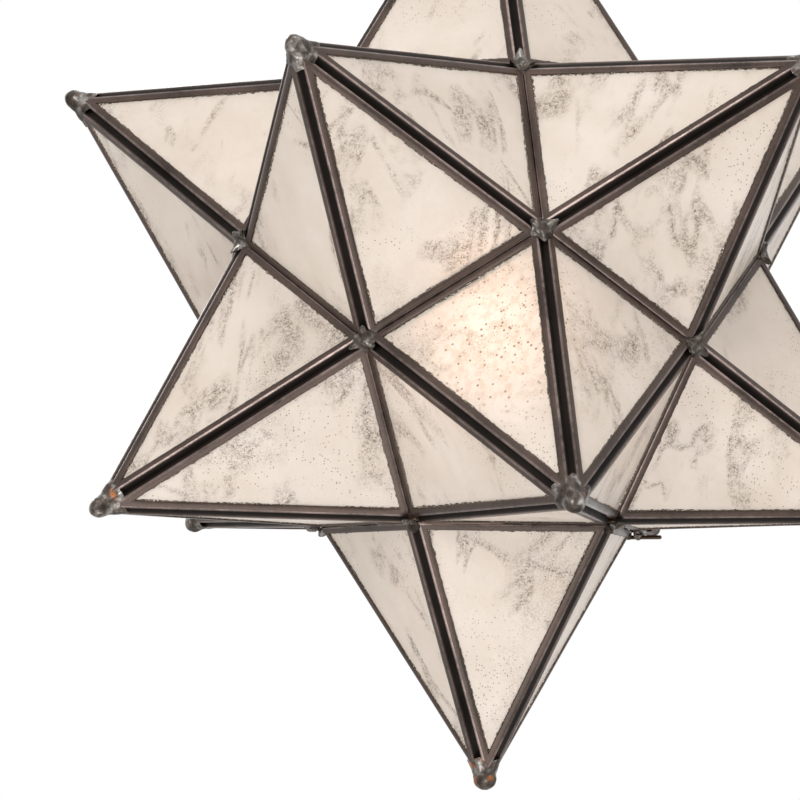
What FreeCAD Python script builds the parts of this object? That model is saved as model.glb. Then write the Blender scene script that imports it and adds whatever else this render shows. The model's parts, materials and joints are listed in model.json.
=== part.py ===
"""Moravian star pendant: a twelve-point star of glass panes in U-channel cames.

Lengths are in millimetres.  The row frame has +Z up and its origin at the
centre of the hanging eye; the star's own centre lies straight below it.  The
twelve points stand on the faces of a regular dodecahedron: one up, one down
and two rings of five.  The point that hangs down is the re-lamping door.
"""
import FreeCAD, Part
import math
import os
from types import SimpleNamespace

import Sketcher
from FreeCAD import Placement, Rotation, Vector

# ---------------------------------------------------------------- dimensions
SIZES = (
    ("edge", 97.0, "side of each point's pentagon, one valley long"),
    ("point_height", 127.0, "from a pentagon to the tip that stands on it"),
    ("came_face", 5.0, "width of the came's flange over the glass"),
    ("came_lip", 0.9, "thickness of a flange"),
    ("came_web", 1.2, "thickness of the came's back"),
    ("came_bevel", 0.9, "bevel between the back and the outer flange"),
    ("glass_thick", 3.0, "pane thickness"),
    ("glass_play", 0.1, "play between pane and flange"),
    ("glass_inset", 1.6, "from the outside of the came's back to the pane's edge"),
    ("glass_nip", 8.0, "how much of a pane's sharp top corner is nipped off"),
    ("seam_gap", 0.2, "hairline between two neighbouring frames"),
    ("bead_radius", 5.5, "solder bead on a valley crossing"),
    ("bead_rise", 3.2, "its height above the crossing"),
    ("bead_root", 5.0, "its depth below the crossing"),
    ("bead_bevel", 2.4, "bevel round the head of a solder bead"),
    ("tip_cut", 11.0, "depth below the sharp tip where the cames end in solder"),
    ("tip_radius", 6.3, "solder bead on a tip, to its corners"),
    ("tip_tall", 10.4, "height of that bead"),
    ("solder_gap", 0.1, "hairline between solder and came"),
    ("door_gap", 0.3, "door's solder inside the mouth's outline"),
    ("rim_gap", 0.7, "rim's solder outside it"),
    ("door_drop", 0.4, "how far the closed door hangs below the rim"),
    ("pin_radius", 1.0, "hinge pin"),
    ("pin_out", 1.2, "hinge axis outside the rim's edge"),
    ("pin_down", 3.4, "hinge axis below the rim's edge"),
    ("pin_tail", 15.0, "pin's long end past its corner"),
    ("pin_stub", 5.0, "pin's short end past the other corner"),
    ("pin_play", 0.05, "radial play of a knuckle on the pin"),
    ("pin_skirt", 1.6, "how far the rim's solder reaches below the hinge axis"),
    ("knuckle_wall", 0.9, "wall of a knuckle tube"),
    ("knuckle_long", 16.0, "length of a knuckle tube"),
    ("knuckle_apart", 52.0, "between the middles of the two knuckles"),
    ("foot_wide", 3.2, "width of a knuckle's foot where it's soldered on"),
    ("foot_root", 2.6, "width of that foot at the tube"),
    ("tongue_wide", 9.0, "width of a spring tongue"),
    ("tongue_thick", 0.8, "thickness of a spring tongue"),
    ("tongue_tall", 5.5, "height of a spring tongue above the rim's edge"),
    ("tongue_tip", 2.2, "height of its bent tip"),
    ("tongue_gap", 0.6, "between a spring tongue and the rim"),
    ("top_cut", 26.0, "depth below the sharp tip where the top point is cut off"),
    ("cap_skirt", 10.0, "how far the cap laps down over the cut"),
    ("cap_thick", 1.2, "sheet thickness of the cap"),
    ("cap_gap", 0.3, "between cap and cames"),
    ("plate_depth", 41.0, "depth of the inner plate below the sharp tip"),
    ("plate_thick", 2.0, "thickness of the inner plate"),
    ("stem_radius", 4.8, "threaded hanging stem"),
    ("stem_bore", 3.2, "radius of the wire way through the stem"),
    ("thread_play", 0.1, "radial play on the stem's thread"),
    ("nut_flats", 14.0, "across the flats of the stem's locknut"),
    ("nut_tall", 4.0, "height of the locknut"),
    ("collar_flats", 15.0, "across the flats of the collar under the hanging eye"),
    ("collar_tall", 11.0, "height of that collar"),
    ("stem_grip", 6.6, "length of the stem that the collar takes"),
    ("eye_radius", 9.0, "bore of the hanging eye"),
    ("eye_wall", 3.6, "width of the eye's ring"),
    ("eye_wire", 1.9, "radius of the wire way into the eye"),
    ("eye_thick", 5.0, "length of the eye's bore"),
    ("base_radius", 13.0, "bulb's screw base"),
    ("base_tall", 24.0, "height of the bulb's screw base"),
    ("base_play", 0.4, "between bulb base and screw shell"),
    ("shell_wall", 0.5, "brass screw shell"),
    ("shell_gap", 0.3, "between screw shell and lampholder body"),
    ("holder_wall", 4.5, "wall of the lampholder body"),
    ("holder_low", 34.0, "lampholder's open end above the star's centre"),
    ("holder_lip", 4.3, "how far the lampholder reaches down past the bulb's screw base"),
    ("holder_floor", 5.0, "thickness of the body's closed end"),
    ("holder_cap_tall", 18.0, "height of the lampholder's cap"),
    ("hub_flats", 16.0, "across the flats of that cap's hub on the stem"),
    ("hub_tall", 9.0, "length of thread in the hub"),
    ("contact_long", 18.0, "centre contact, a strip of springy brass"),
    ("contact_wide", 7.0, "width of that strip"),
    ("contact_tall", 1.2, "thickness of that strip"),
    ("stud_radius", 5.0, "stud in the middle of the bulb's base"),
    ("stud_tall", 2.5, "height of that stud"),
    ("bulb_radius", 30.0, "bulb's globe"),
    ("bulb_drop", 17.0, "globe's centre below the star's centre"),
    ("bulb_bevel", 12.0, "bevel round the globe's low end"),
    ("bulb_wall", 1.0, "glass of the bulb"),
)

FIVE = 5
SIX = 6
TURN = 360.0
HALF_TURN = TURN / 2
QUARTER_TURN = TURN / 4
FIFTH = TURN / FIVE
HALF_FIFTH = FIFTH / 2
# A regular dodecahedron of edge 1 that stands on a face.
INRADIUS = math.sqrt(250 + 110 * math.sqrt(5)) / 20
CIRCUMRADIUS = math.sqrt(3) * (1 + math.sqrt(5)) / 4
RIM_TILT = math.degrees(math.acos(INRADIUS / CIRCUMRADIUS))        # a face's axis to its vertex
WAIST_TILT = RIM_TILT + 2 * math.degrees(math.asin(0.5 / CIRCUMRADIUS))
UPPER_TILT = math.degrees(math.atan(2))                            # +Z to an upper point's axis
LOWER_TILT = HALF_TURN - UPPER_TILT
FRONT = -QUARTER_TURN           # azimuth of the lower point that faces forward
FRONT_SIDE, BACK_SIDE = -1, 1   # the -Y and the +Y side
HINGE_AZIMUTH = FRONT + 2 * FIFTH
HINGE_TURN = Rotation(Vector(0, 0, 1), HINGE_AZIMUTH) * Rotation(Vector(1, 0, 0), QUARTER_TURN)


class Length:
    """A size that carries its number and the formula bound in the document."""

    def __init__(self, number, text):
        self.number = float(number)
        self.text = text

    def __add__(self, other):
        return Length(self.number + number_of(other), f"({self.text} + {text_of(other)})")

    def __sub__(self, other):
        return Length(self.number - number_of(other), f"({self.text} - {text_of(other)})")

    def __mul__(self, other):
        return Length(self.number * number_of(other), f"({self.text} * {text_of(other)})")

    def __truediv__(self, other):
        return Length(self.number / number_of(other), f"({self.text} / {text_of(other)})")

    def __rsub__(self, other):
        return Length(number_of(other) - self.number, f"({text_of(other)} - {self.text})")

    def __neg__(self):
        return Length(-self.number, f"(-{self.text})")

    __radd__ = __add__
    __rmul__ = __mul__


def number_of(value):
    return value.number if isinstance(value, Length) else float(value)


def text_of(value):
    return value.text if isinstance(value, Length) else f"({float(value):.12f})"


def root(value):
    return Length(math.sqrt(value.number), f"sqrt({value.text})")


def arc_tangent(value):
    return Length(math.degrees(math.atan(value.number)), f"atan({value.text})")


ZERO = Length(0, "0")

doc = FreeCAD.newDocument("MoravianStar")
sheet = doc.addObject("Spreadsheet::Sheet", "Sizes")
for row, (alias, value, note) in enumerate(SIZES, start=1):
    sheet.set(f"A{row}", note)
    sheet.set(f"B{row}", str(value))
    sheet.setAlias(f"B{row}", alias)
doc.recompute()
size = SimpleNamespace(**{alias: Length(sheet.get(alias), f"Sizes.{alias}") for alias, _, _ in SIZES})

# ------------------------------------------------------- the star's geometry
half_edge = size.edge / 2
apothem = half_edge / math.tan(math.radians(HALF_FIFTH))
corner = half_edge / math.sin(math.radians(HALF_FIFTH))
core = size.edge * INRADIUS                      # centre to a pentagon
crossing = size.edge * CIRCUMRADIUS              # centre to a valley crossing
tip = core + size.point_height                   # centre to a sharp tip
slant = root(apothem * apothem + size.point_height * size.point_height)
ridge = root(slant * slant + half_edge * half_edge)
lean_out = size.point_height / slant             # a pane's normal, away from the point's axis
lean_up = apothem / slant                        # and along it
came_depth = size.glass_thick + (size.glass_play + size.came_lip) * 2

# Frames lie under the outer planes and meet on their inner edges at a ridge.
facing = lean_out * lean_out * math.cos(math.radians(FIFTH)) + lean_up * lean_up
ridge_setback = came_depth * root((1 - facing) / (1 + facing)) + size.seam_gap / 2
valley_setback = size.seam_gap / 2
frame_apex = slant - ridge_setback * ridge / half_edge

# Heights above the star's centre.
cap_under = tip - size.top_cut + size.cap_gap
cap_top = cap_under + size.cap_thick
eye_height = cap_top + size.collar_tall + size.eye_radius + size.eye_wall / 2
rim_height = -core
door_rim = rim_height - size.door_drop
base_low = size.holder_low + size.holder_lip
base_top = base_low + size.base_tall
contact_low = base_top + size.base_play
shell_top = contact_low + size.contact_tall
holder_ceiling = shell_top + size.shell_gap
holder_top = holder_ceiling + size.holder_floor
holder_cap_top = holder_top + size.holder_cap_tall - size.hub_tall
shell_inner = size.base_radius + size.base_play
shell_outer = shell_inner + size.shell_wall
holder_bore = shell_outer + size.shell_gap
holder_radius = holder_bore + size.holder_wall
stem_low = holder_cap_top + size.solder_gap
thread_radius = size.stem_radius + size.thread_play
hinge_x = apothem + size.pin_out
hinge_y = rim_height - size.pin_down
knuckle_radius = size.pin_radius + size.pin_play + size.knuckle_wall
plate_top = tip - size.plate_depth


# ------------------------------------------------------------------- helpers
def place(obj, rotation=Rotation(), drop=ZERO):
    """Set a piece built round the star's centre at its place below the eye."""
    height = -eye_height - drop
    obj.Placement = Placement(Vector(0, 0, height.number), rotation)
    obj.setExpression("Placement.Base.z", height.text)
    return obj


def bind(obj, **values):
    """Set each property to its number and bind it to its formula."""
    for name, value in values.items():
        setattr(obj, name, number_of(value))
        obj.setExpression(name, text_of(value))
    return obj


def new_body(label):
    body = doc.addObject("PartDesign::Body", label)
    body.Label = label
    body.AllowCompound = True
    return body


def origin_part(body, role):
    return next(part for part in body.Origin.OriginFeatures if part.Role == role)


def new_sketch(body, role, offset=None, turn=None):
    """A sketch on one of the body's own planes; offset and turn move it from there."""
    sketch = body.newObject("Sketcher::SketchObject", "Sketch")
    sketch.AttachmentSupport = [(origin_part(body, role), "")]
    sketch.MapMode = "FlatFace"
    if offset is None:
        return sketch
    axis, angle = turn
    sketch.AttachmentOffset = Placement(Vector(*[number_of(value) for value in offset]),
                                        Rotation(Vector(*axis), number_of(angle)))
    for name, value in zip("xyz", offset):
        sketch.setExpression(f"AttachmentOffset.Base.{name}", text_of(value))
    sketch.setExpression("AttachmentOffset.Rotation.Angle", text_of(angle))
    return sketch


def pin_point(sketch, geometry, end, x, y):
    """Fix one end of a sketch line to its two bound coordinates."""
    for kind, value, axis in (("DistanceX", x, -2), ("DistanceY", y, -1)):
        if text_of(value) == ZERO.text:
            sketch.addConstraint(Sketcher.Constraint("PointOnObject", geometry, end, axis))
            continue
        datum = sketch.addConstraint(
            Sketcher.Constraint(kind, -1, 1, geometry, end, number_of(value)))
        sketch.setExpression(f"Constraints[{datum}]", text_of(value))


def outline(sketch, corners):
    """Draw a closed outline of straight lines through (x, y) corners."""
    points = [Vector(number_of(x), number_of(y), 0) for x, y in corners]
    lines = [sketch.addGeometry(Part.LineSegment(start, end), False)
             for start, end in zip(points, points[1:] + points[:1])]
    for index, (x, y) in enumerate(corners):
        pin_point(sketch, lines[index], 1, x, y)
        sketch.addConstraint(Sketcher.Constraint("Coincident", lines[index - 1], 2, lines[index], 1))
    return sketch


def circle(sketch, x, y, radius):
    """Draw a circle whose centre and radius are bound."""
    centre = Vector(number_of(x), number_of(y), 0)
    index = sketch.addGeometry(Part.Circle(centre, Vector(0, 0, 1), number_of(radius)), False)
    pin_point(sketch, index, 3, x, y)
    datum = sketch.addConstraint(Sketcher.Constraint("Radius", index, number_of(radius)))
    sketch.setExpression(f"Constraints[{datum}]", text_of(radius))
    return sketch


def revolve(body, sketch):
    feature = body.newObject("PartDesign::Revolution", "Revolution")
    feature.Profile = sketch
    feature.ReferenceAxis = (sketch, ["V_Axis"])
    feature.Angle = TURN
    return feature


def pad(body, sketch, length, midplane=False):
    feature = body.newObject("PartDesign::Pad", "Pad")
    feature.Profile = sketch
    bind(feature, Length=length)
    feature.SideType = "Symmetric" if midplane else "One side"
    return feature


def five_round(body):
    """Repeat the body's whole shape five times round its Z axis."""
    return round_axis(body, TURN, FIVE)


def round_axis(body, angle, count):
    """Repeat the body's whole shape round its Z axis."""
    ring = whole_pattern(body, "PolarPattern")
    ring.Axis = (origin_part(body, "Z_Axis"), [""])
    ring.Angle = angle
    ring.Occurrences = count
    return ring


def whole_pattern(body, kind):
    """A pattern feature that repeats all that the body has so far."""
    so_far = body.Tip
    feature = body.newObject(f"PartDesign::{kind}", kind)
    feature.TransformMode = "Whole shape"
    feature.BaseFeature = so_far
    body.Tip = feature
    return feature


def cutter(body, kind, base, rotation=Rotation(), **values):
    """Take a ball, cylinder or prism out of the body."""
    feature = body.newObject(f"PartDesign::Subtractive{kind}", kind)
    if "Polygon" in values:
        feature.Polygon = values.pop("Polygon")
    bind(feature, **values)
    feature.Placement = Placement(Vector(*[number_of(value) for value in base]), rotation)
    for name, value in zip("xyz", base):
        feature.setExpression(f"Placement.Base.{name}", text_of(value))
    return feature


def turned(label, corners):
    """A body of revolution about Z from an outline of (radius, height) corners."""
    body = new_body(label)
    revolve(body, outline(new_sketch(body, "XZ_Plane"), corners))
    return place(body)


def sweep(body, path, profile):
    """Run a profile round a closed path, mitred at its corners."""
    feature = body.newObject("PartDesign::AdditivePipe", "Sweep")
    feature.Profile = profile
    feature.Spine = (path, [])
    feature.Transition = "Right corner"
    return feature


# --------------------------------------------------------------- came frames
def pane_corners(inset, top=None):
    """Half a pane's outline, inset from the came's back: low corner, top corner."""
    low = valley_setback + inset
    apex = frame_apex - inset * ridge / half_edge
    high = apex if top is None else top
    return ((apex - low) * half_edge / slant, low), ((apex - high) * half_edge / slant, high)


def pane_sketch(body):
    """A sketch in a pane's outer plane, its origin on the middle of the valley."""
    tilt = arc_tangent(apothem / size.point_height)
    return new_sketch(body, "YZ_Plane", (ZERO, core, apothem), ((-1, 0, 0), tilt))


def channel_profile(body):
    """The came's U section, lying under the pane's outer plane."""
    tilt = arc_tangent(apothem / size.point_height)
    sketch = new_sketch(body, "XZ_Plane", (apothem, core, ZERO), ((0, 0, 1), tilt))
    back = valley_setback
    edge = back + size.came_face
    slot = back + size.came_web
    outer = -size.came_lip
    inner = size.came_lip - came_depth
    return outline(sketch, (
        (-size.came_bevel, back), (-came_depth, back), (-came_depth, edge), (inner, edge),
        (inner, slot), (outer, slot), (outer, edge), (ZERO, edge),
        (ZERO, back + size.came_bevel)))


def came_ring(label, top=None):
    """Five came frames round one point; with top, each is cut off square there."""
    body = new_body(label)
    (wide, low), (narrow, high) = pane_corners(ZERO, top)
    path = pane_sketch(body)
    if top is None:
        corners = ((ZERO, low), (wide, low), (ZERO, high), (-wide, low))
    else:
        corners = ((ZERO, low), (wide, low), (narrow, high), (-narrow, high), (-wide, low))
    outline(path, corners)
    sweep(body, path, channel_profile(body))
    for side in (-HALF_FIFTH, HALF_FIFTH):
        bead_socket(body, side)
    if top is None:
        cutter(body, "Prism", (ZERO, ZERO, tip - size.tip_cut), Polygon=FIVE,
               Circumradius=size.tip_cut * 2, Height=size.tip_cut * 2)
    five_round(body)
    return body


def bead_socket(body, side):
    """Six flats that take the frame's corner away where a solder bead sits."""
    reach = crossing - size.bead_root * 2
    aside = reach * math.sin(math.radians(RIM_TILT))
    base = (aside * math.cos(math.radians(side)), aside * math.sin(math.radians(side)),
            reach * math.cos(math.radians(RIM_TILT)))
    across = (size.bead_radius + size.solder_gap) / math.cos(math.pi / SIX)
    cutter(body, "Prism", base, turned_to(side, RIM_TILT), Polygon=SIX,
           Circumradius=across, Height=size.bead_root * 2 + size.bead_rise * 2)


def glass_ring(label, top=None):
    """Five panes round one point, their sharp top corners nipped off."""
    body = new_body(label)
    sketch = pane_sketch(body)
    depth = size.came_lip + size.glass_play
    if top is None:
        _, (_, apex) = pane_corners(size.glass_inset)
        high = apex - size.glass_nip
    else:
        high = top - size.glass_inset
    (wide, low), (narrow, high) = pane_corners(size.glass_inset, high)
    outline(sketch, ((wide, low), (narrow, high), (-narrow, high), (-wide, low)))
    pane = pad(body, sketch, size.glass_thick)
    pane.Reversed = True
    sunk(sketch, depth)
    five_round(body)
    return body


def sunk(sketch, depth):
    """Move a pane's sketch under the outer plane by a depth along the normal."""
    low = core - depth * lean_up
    out = apothem - depth * lean_out
    sketch.setExpression("AttachmentOffset.Base.y", low.text)
    sketch.setExpression("AttachmentOffset.Base.z", out.text)


def copy_of(label, original, rotation, drop=ZERO):
    """A further point: the same pieces, turned to another face."""
    body = new_body(label)
    clone = doc.addObject("PartDesign::FeatureBase", "Clone")
    clone.BaseFeature = original
    body.Group = [clone]
    body.Tip = clone
    return place(body, rotation, drop)


def turned_to(azimuth, tilt, spin=0.0):
    about_z = Rotation(Vector(0, 0, 1), azimuth)
    about_y = Rotation(Vector(0, 1, 0), tilt)
    return about_z * about_y * Rotation(Vector(0, 0, 1), spin)


def star_points():
    """The ten side points, the cut-off top point and the door."""
    cames = came_ring("lower_point_1_cames")
    panes = glass_ring("lower_point_1_panes")
    for number in range(FIVE):
        lower = turned_to(FRONT + number * FIFTH, LOWER_TILT)
        upper = turned_to(FRONT + HALF_FIFTH + number * FIFTH, UPPER_TILT, HALF_TURN)
        for kind, original in (("cames", cames), ("panes", panes)):
            if number:
                copy_of(f"lower_point_{number + 1}_{kind}", original, lower)
            copy_of(f"upper_point_{number + 1}_{kind}", original, upper)
    down = Rotation(Vector(0, 0, 1), FRONT) * Rotation(Vector(1, 0, 0), HALF_TURN)
    copy_of("door_cames", cames, down, size.door_drop)
    copy_of("door_panes", panes, down, size.door_drop)
    first = turned_to(FRONT, LOWER_TILT)
    place(cames, first)
    place(panes, first)
    cut = slant - size.top_cut * slant / size.point_height
    up = turned_to(FRONT + HALF_FIFTH, 0)
    place(came_ring("top_point_cames", cut), up)
    place(glass_ring("top_point_panes", cut), up)


# -------------------------------------------------------------------- solder
def leaning_plane(body, side, tilt, reach):
    """A sketch square to the line from the centre at a tilt, on the +Y or -Y side."""
    radians = math.radians(tilt)
    offset = (ZERO, reach * (side * math.sin(radians)), reach * math.cos(radians))
    return new_sketch(body, "XY_Plane", offset, ((-side, 0, 0), tilt))


def regular(sketch, sides, radius, first=QUARTER_TURN):
    """A regular outline round the sketch's origin, its first corner at an angle."""
    angles = [math.radians(first + TURN * number / sides) for number in range(sides)]
    return outline(sketch, [(radius * math.cos(angle), radius * math.sin(angle)) for angle in angles])


def bead(body, side, tilt):
    """A six-sided lump on a valley crossing, its head bevelled all round."""
    sketch = leaning_plane(body, side, tilt, crossing - size.bead_root)
    regular(sketch, SIX, size.bead_radius / math.cos(math.pi / SIX))
    lump = pad(body, sketch, size.bead_root + size.bead_rise)
    bevel_head(body, lump, side, tilt, size.bead_bevel)


def tip_bead(body, side, tilt):
    """A six-sided lump on the cut ends of five cames."""
    sketch = leaning_plane(body, side, tilt, tip - size.tip_cut + size.solder_gap)
    regular(sketch, SIX, size.tip_radius)
    lump = pad(body, sketch, size.tip_tall)
    bevel_head(body, lump, side, tilt, size.bead_bevel)


def bevel_head(body, lump, side, tilt, depth):
    """Bevel the edges of the face that looks outward at a tilt."""
    radians = math.radians(tilt)
    outward = Vector(0, side * math.sin(radians), math.cos(radians))
    doc.recompute()
    reach = [face.CenterOfMass * outward for face in lump.Shape.Faces]
    head = reach.index(max(reach)) + 1
    bevel = body.newObject("PartDesign::Chamfer", "HeadBevel")
    bevel.Base = (lump, [f"Face{head}"])
    bind(bevel, Size=depth)
    body.Tip = bevel


def star_solder():
    """Beads on the fifteen upper crossings and on the ten side tips."""
    valleys = new_body("valley_solder")
    bead(valleys, BACK_SIDE, HALF_TURN - WAIST_TILT)
    bead(valleys, FRONT_SIDE, WAIST_TILT)
    bead(valleys, FRONT_SIDE, RIM_TILT)
    five_round(valleys)
    place(valleys)
    tips = new_body("tip_solder")
    tip_bead(tips, FRONT_SIDE, LOWER_TILT)
    tip_bead(tips, BACK_SIDE, UPPER_TILT)
    five_round(tips)
    place(tips)


def rim_solder():
    """Five beads on the rim's corners, outside the door's way; two hold the hinge pin."""
    body = new_body("rim_solder")
    bead(body, BACK_SIDE, HALF_TURN - RIM_TILT)
    five_round(body)
    way = regular(new_sketch(body, "XY_Plane"), FIVE, corner + size.rim_gap)
    pocket(body, way, crossing * 2)
    skirt = hinge_y - size.pin_skirt
    below = regular(new_sketch(body, "XY_Plane", (ZERO, ZERO, skirt), ((0, 0, 1), ZERO)),
                    FIVE, corner * 2)
    pocket(body, below, crossing)
    stub = -half_edge - size.pin_stub
    cutter(body, "Cylinder", along_hinge(stub * 2), HINGE_TURN,
           Radius=size.pin_radius + size.solder_gap, Height=size.edge * 2)
    place(body)


def door_solder():
    """The door's own corner beads, within the mouth, and the bead on its tip."""
    body = new_body("door_solder")
    bead(body, BACK_SIDE, HALF_TURN - RIM_TILT)
    five_round(body)
    around = new_sketch(body, "XY_Plane")
    regular(around, FIVE, corner * 2)
    regular(around, FIVE, corner - size.door_gap)
    pocket(body, around, crossing * 2)
    above = regular(new_sketch(body, "XY_Plane", (ZERO, ZERO, rim_height), ((0, 0, 1), ZERO)),
                    FIVE, corner * 2)
    pocket(body, above, crossing).Reversed = True
    tip_bead(body, BACK_SIDE, HALF_TURN)
    place(body, drop=size.door_drop)


def pocket(body, sketch, length):
    """Cut straight down from a sketch."""
    feature = body.newObject("PartDesign::Pocket", "Pocket")
    feature.Profile = sketch
    bind(feature, Length=length)
    return feature


# --------------------------------------------------------------------- hinge
def along_hinge(distance):
    """A point on the hinge axis, at a distance from the middle of its rim edge."""
    azimuth = math.radians(HINGE_AZIMUTH)
    return (hinge_x * math.cos(azimuth) + distance * math.sin(azimuth),
            hinge_x * math.sin(azimuth) - distance * math.cos(azimuth), hinge_y)


def hinge():
    """The pin, and the two knuckles that carry the door on it."""
    pin = new_body("hinge_pin")
    sketch = new_sketch(pin, "XZ_Plane", (hinge_x, ZERO, -hinge_y), ((0, 0, 1), ZERO))
    stub = -half_edge - size.pin_stub
    tail = half_edge + size.pin_tail
    bevel = size.pin_radius / 2
    revolve(pin, outline(sketch, (
        (ZERO, stub), (size.pin_radius, stub), (size.pin_radius, tail - bevel),
        (bevel, tail), (ZERO, tail))))
    place(pin, HINGE_TURN)

    knuckles = new_body("hinge_knuckles")
    middle = (ZERO, ZERO, size.knuckle_apart / 2)
    level = ((0, 0, 1), ZERO)
    tube = circle(new_sketch(knuckles, "XY_Plane", middle, level), hinge_x, hinge_y,
                  knuckle_radius)
    pad(knuckles, tube, size.knuckle_long, midplane=True)
    to_face = lean_out * size.pin_out + lean_up * (door_rim - hinge_y) - size.solder_gap
    foot = new_sketch(knuckles, "XY_Plane", middle, level)
    corners = []
    wide, narrow = size.foot_wide / 2, size.foot_root / 2
    for out, shift in ((to_face, wide), (to_face, -wide), (ZERO, -narrow), (ZERO, narrow)):
        corners.append((hinge_x - lean_out * out - lean_up * shift,
                        hinge_y + lean_up * out - lean_out * shift))
    pad(knuckles, outline(foot, corners), size.knuckle_long, midplane=True)
    bore = circle(new_sketch(knuckles, "XY_Plane", middle, level), hinge_x, hinge_y,
                  size.pin_radius + size.pin_play)
    pocket(knuckles, bore, size.knuckle_long).SideType = "Symmetric"
    pair = whole_pattern(knuckles, "Mirrored")
    pair.MirrorPlane = (origin_part(knuckles, "XY_Plane"), [""])
    place(knuckles, HINGE_TURN)


def tongues():
    """Two bent brass strips that stand on the door's cames and grip inside the rim."""
    body = new_body("door_tongues")
    outer = apothem - size.tongue_gap
    inner = outer - size.tongue_thick
    rise = apothem / size.point_height
    top = rim_height + size.tongue_tall
    knee = top - size.tongue_tip
    seat = door_rim + size.solder_gap / lean_out
    bend = size.tongue_thick
    sketch = outline(new_sketch(body, "XZ_Plane"), (
        (outer, seat + (apothem - outer) * rise), (outer, knee), (outer - bend, top),
        (inner - bend, top), (inner, knee), (inner, seat + (apothem - inner) * rise)))
    pad(body, sketch, size.tongue_wide, midplane=True)
    round_axis(body, FIFTH, 2)
    place(body, Rotation(Vector(0, 0, 1), FRONT - FIFTH))


# --------------------------------------------------------- cap, stem and eye
def level_sketch(body, height):
    return new_sketch(body, "XY_Plane", (ZERO, ZERO, height), ((0, 0, 1), ZERO))


def flat_to(height, inset):
    """From the axis to the top point's planes at a height, moved in square to them."""
    return (tip - height) * apothem / size.point_height - inset / lean_out


def section(height, inset):
    """The same to a corner of that outline."""
    return flat_to(height, inset) / math.cos(math.radians(HALF_FIFTH))


def hexagon(body, height, flats):
    """A level six-sided sketch, measured across its flats."""
    return regular(level_sketch(body, height), SIX, flats / 2 / math.cos(math.pi / SIX))


def cap_and_plate():
    """The folded cap over the cut top point and the plate that draws it down."""
    cap = new_body("top_cap")
    sheet_out = -size.cap_gap - size.cap_thick
    low = cap_under - size.cap_skirt
    outer = section(cap_top, sheet_out)
    path = level_sketch(cap, cap_top)
    around = [(outer * math.cos(angle), outer * math.sin(angle))
              for angle in [math.radians(HALF_FIFTH + FIFTH * number) for number in range(FIVE)]]
    outline(path, [(flat_to(cap_top, sheet_out), ZERO)] + around)
    sweep(cap, path, outline(new_sketch(cap, "XZ_Plane"), (
        (flat_to(cap_top, sheet_out), cap_top), (flat_to(low, sheet_out), low),
        (flat_to(low, -size.cap_gap), low), (flat_to(cap_under, -size.cap_gap), cap_under),
        (flat_to(cap_under, size.cap_skirt / 2), cap_under),
        (flat_to(cap_under, size.cap_skirt / 2), cap_top))))
    top = regular(level_sketch(cap, cap_top), FIVE, section(cap_under, ZERO), HALF_FIFTH)
    pad(cap, circle(top, ZERO, ZERO, thread_radius), size.cap_thick).Reversed = True
    place(cap, Rotation(Vector(0, 0, 1), FRONT + HALF_FIFTH))

    plate = new_body("cap_plate")
    seat = came_depth + size.cap_gap
    pentagon = regular(level_sketch(plate, plate_top), FIVE, section(plate_top, seat), FRONT)
    pad(plate, circle(pentagon, ZERO, ZERO, thread_radius), size.plate_thick).Reversed = True
    place(plate)


def stem_and_eye():
    """The threaded stem, its locknut and the hanging eye on its collar."""
    stem_top = cap_top + size.stem_grip
    turned("stem", ((size.stem_bore, stem_low), (size.stem_radius, stem_low),
                    (size.stem_radius, stem_top), (size.stem_bore, stem_top)))
    nut = new_body("stem_nut")
    height = plate_top - size.plate_thick - size.solder_gap
    flats = hexagon(nut, height, size.nut_flats)
    pad(nut, circle(flats, ZERO, ZERO, thread_radius), size.nut_tall).Reversed = True
    place(nut)

    loop = new_body("hanging_loop")
    low = cap_top + size.solder_gap
    high = cap_top + size.collar_tall
    pad(loop, hexagon(loop, low, size.collar_flats), high - low)
    ring = new_sketch(loop, "XZ_Plane")
    circle(ring, ZERO, eye_height, size.eye_radius + size.eye_wall)
    pad(loop, ring, size.eye_thick, midplane=True)
    eye = circle(new_sketch(loop, "XZ_Plane"), ZERO, eye_height, size.eye_radius)
    pocket(loop, eye, size.eye_thick * 2).SideType = "Symmetric"
    cutter(loop, "Cylinder", (ZERO, ZERO, low), Radius=thread_radius,
           Height=stem_top + size.solder_gap - low)
    cutter(loop, "Cylinder", (ZERO, ZERO, low), Radius=size.eye_wire, Height=eye_height - low)
    place(loop)


# ---------------------------------------------------------- lampholder, bulb
def lampholder():
    """Cap with its hub on the stem, body, brass screw shell and centre contact."""
    cap = new_body("lampholder_cap")
    under = holder_top + size.solder_gap
    pad(cap, circle(level_sketch(cap, under), ZERO, ZERO, holder_radius), holder_cap_top - under)
    hub = circle(hexagon(cap, holder_cap_top, size.hub_flats), ZERO, ZERO, thread_radius)
    pad(cap, hub, size.hub_tall)
    place(cap)
    turned("lampholder_body", (
        (holder_bore, size.holder_low), (holder_radius, size.holder_low),
        (holder_radius, holder_top), (ZERO, holder_top), (ZERO, holder_ceiling),
        (holder_bore, holder_ceiling)))
    shell_low = size.holder_low + size.holder_lip / 2
    turned("screw_shell", ((shell_inner, shell_low), (shell_outer, shell_low),
                           (shell_outer, shell_top), (shell_inner, shell_top)))
    contact = new_body("centre_contact")
    long, wide = size.contact_long / 2, size.contact_wide / 2
    strip = outline(level_sketch(contact, contact_low), (
        (-long, -wide), (long, -wide), (long, wide), (-long, wide)))
    pad(contact, strip, size.contact_tall)
    place(contact)


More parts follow.
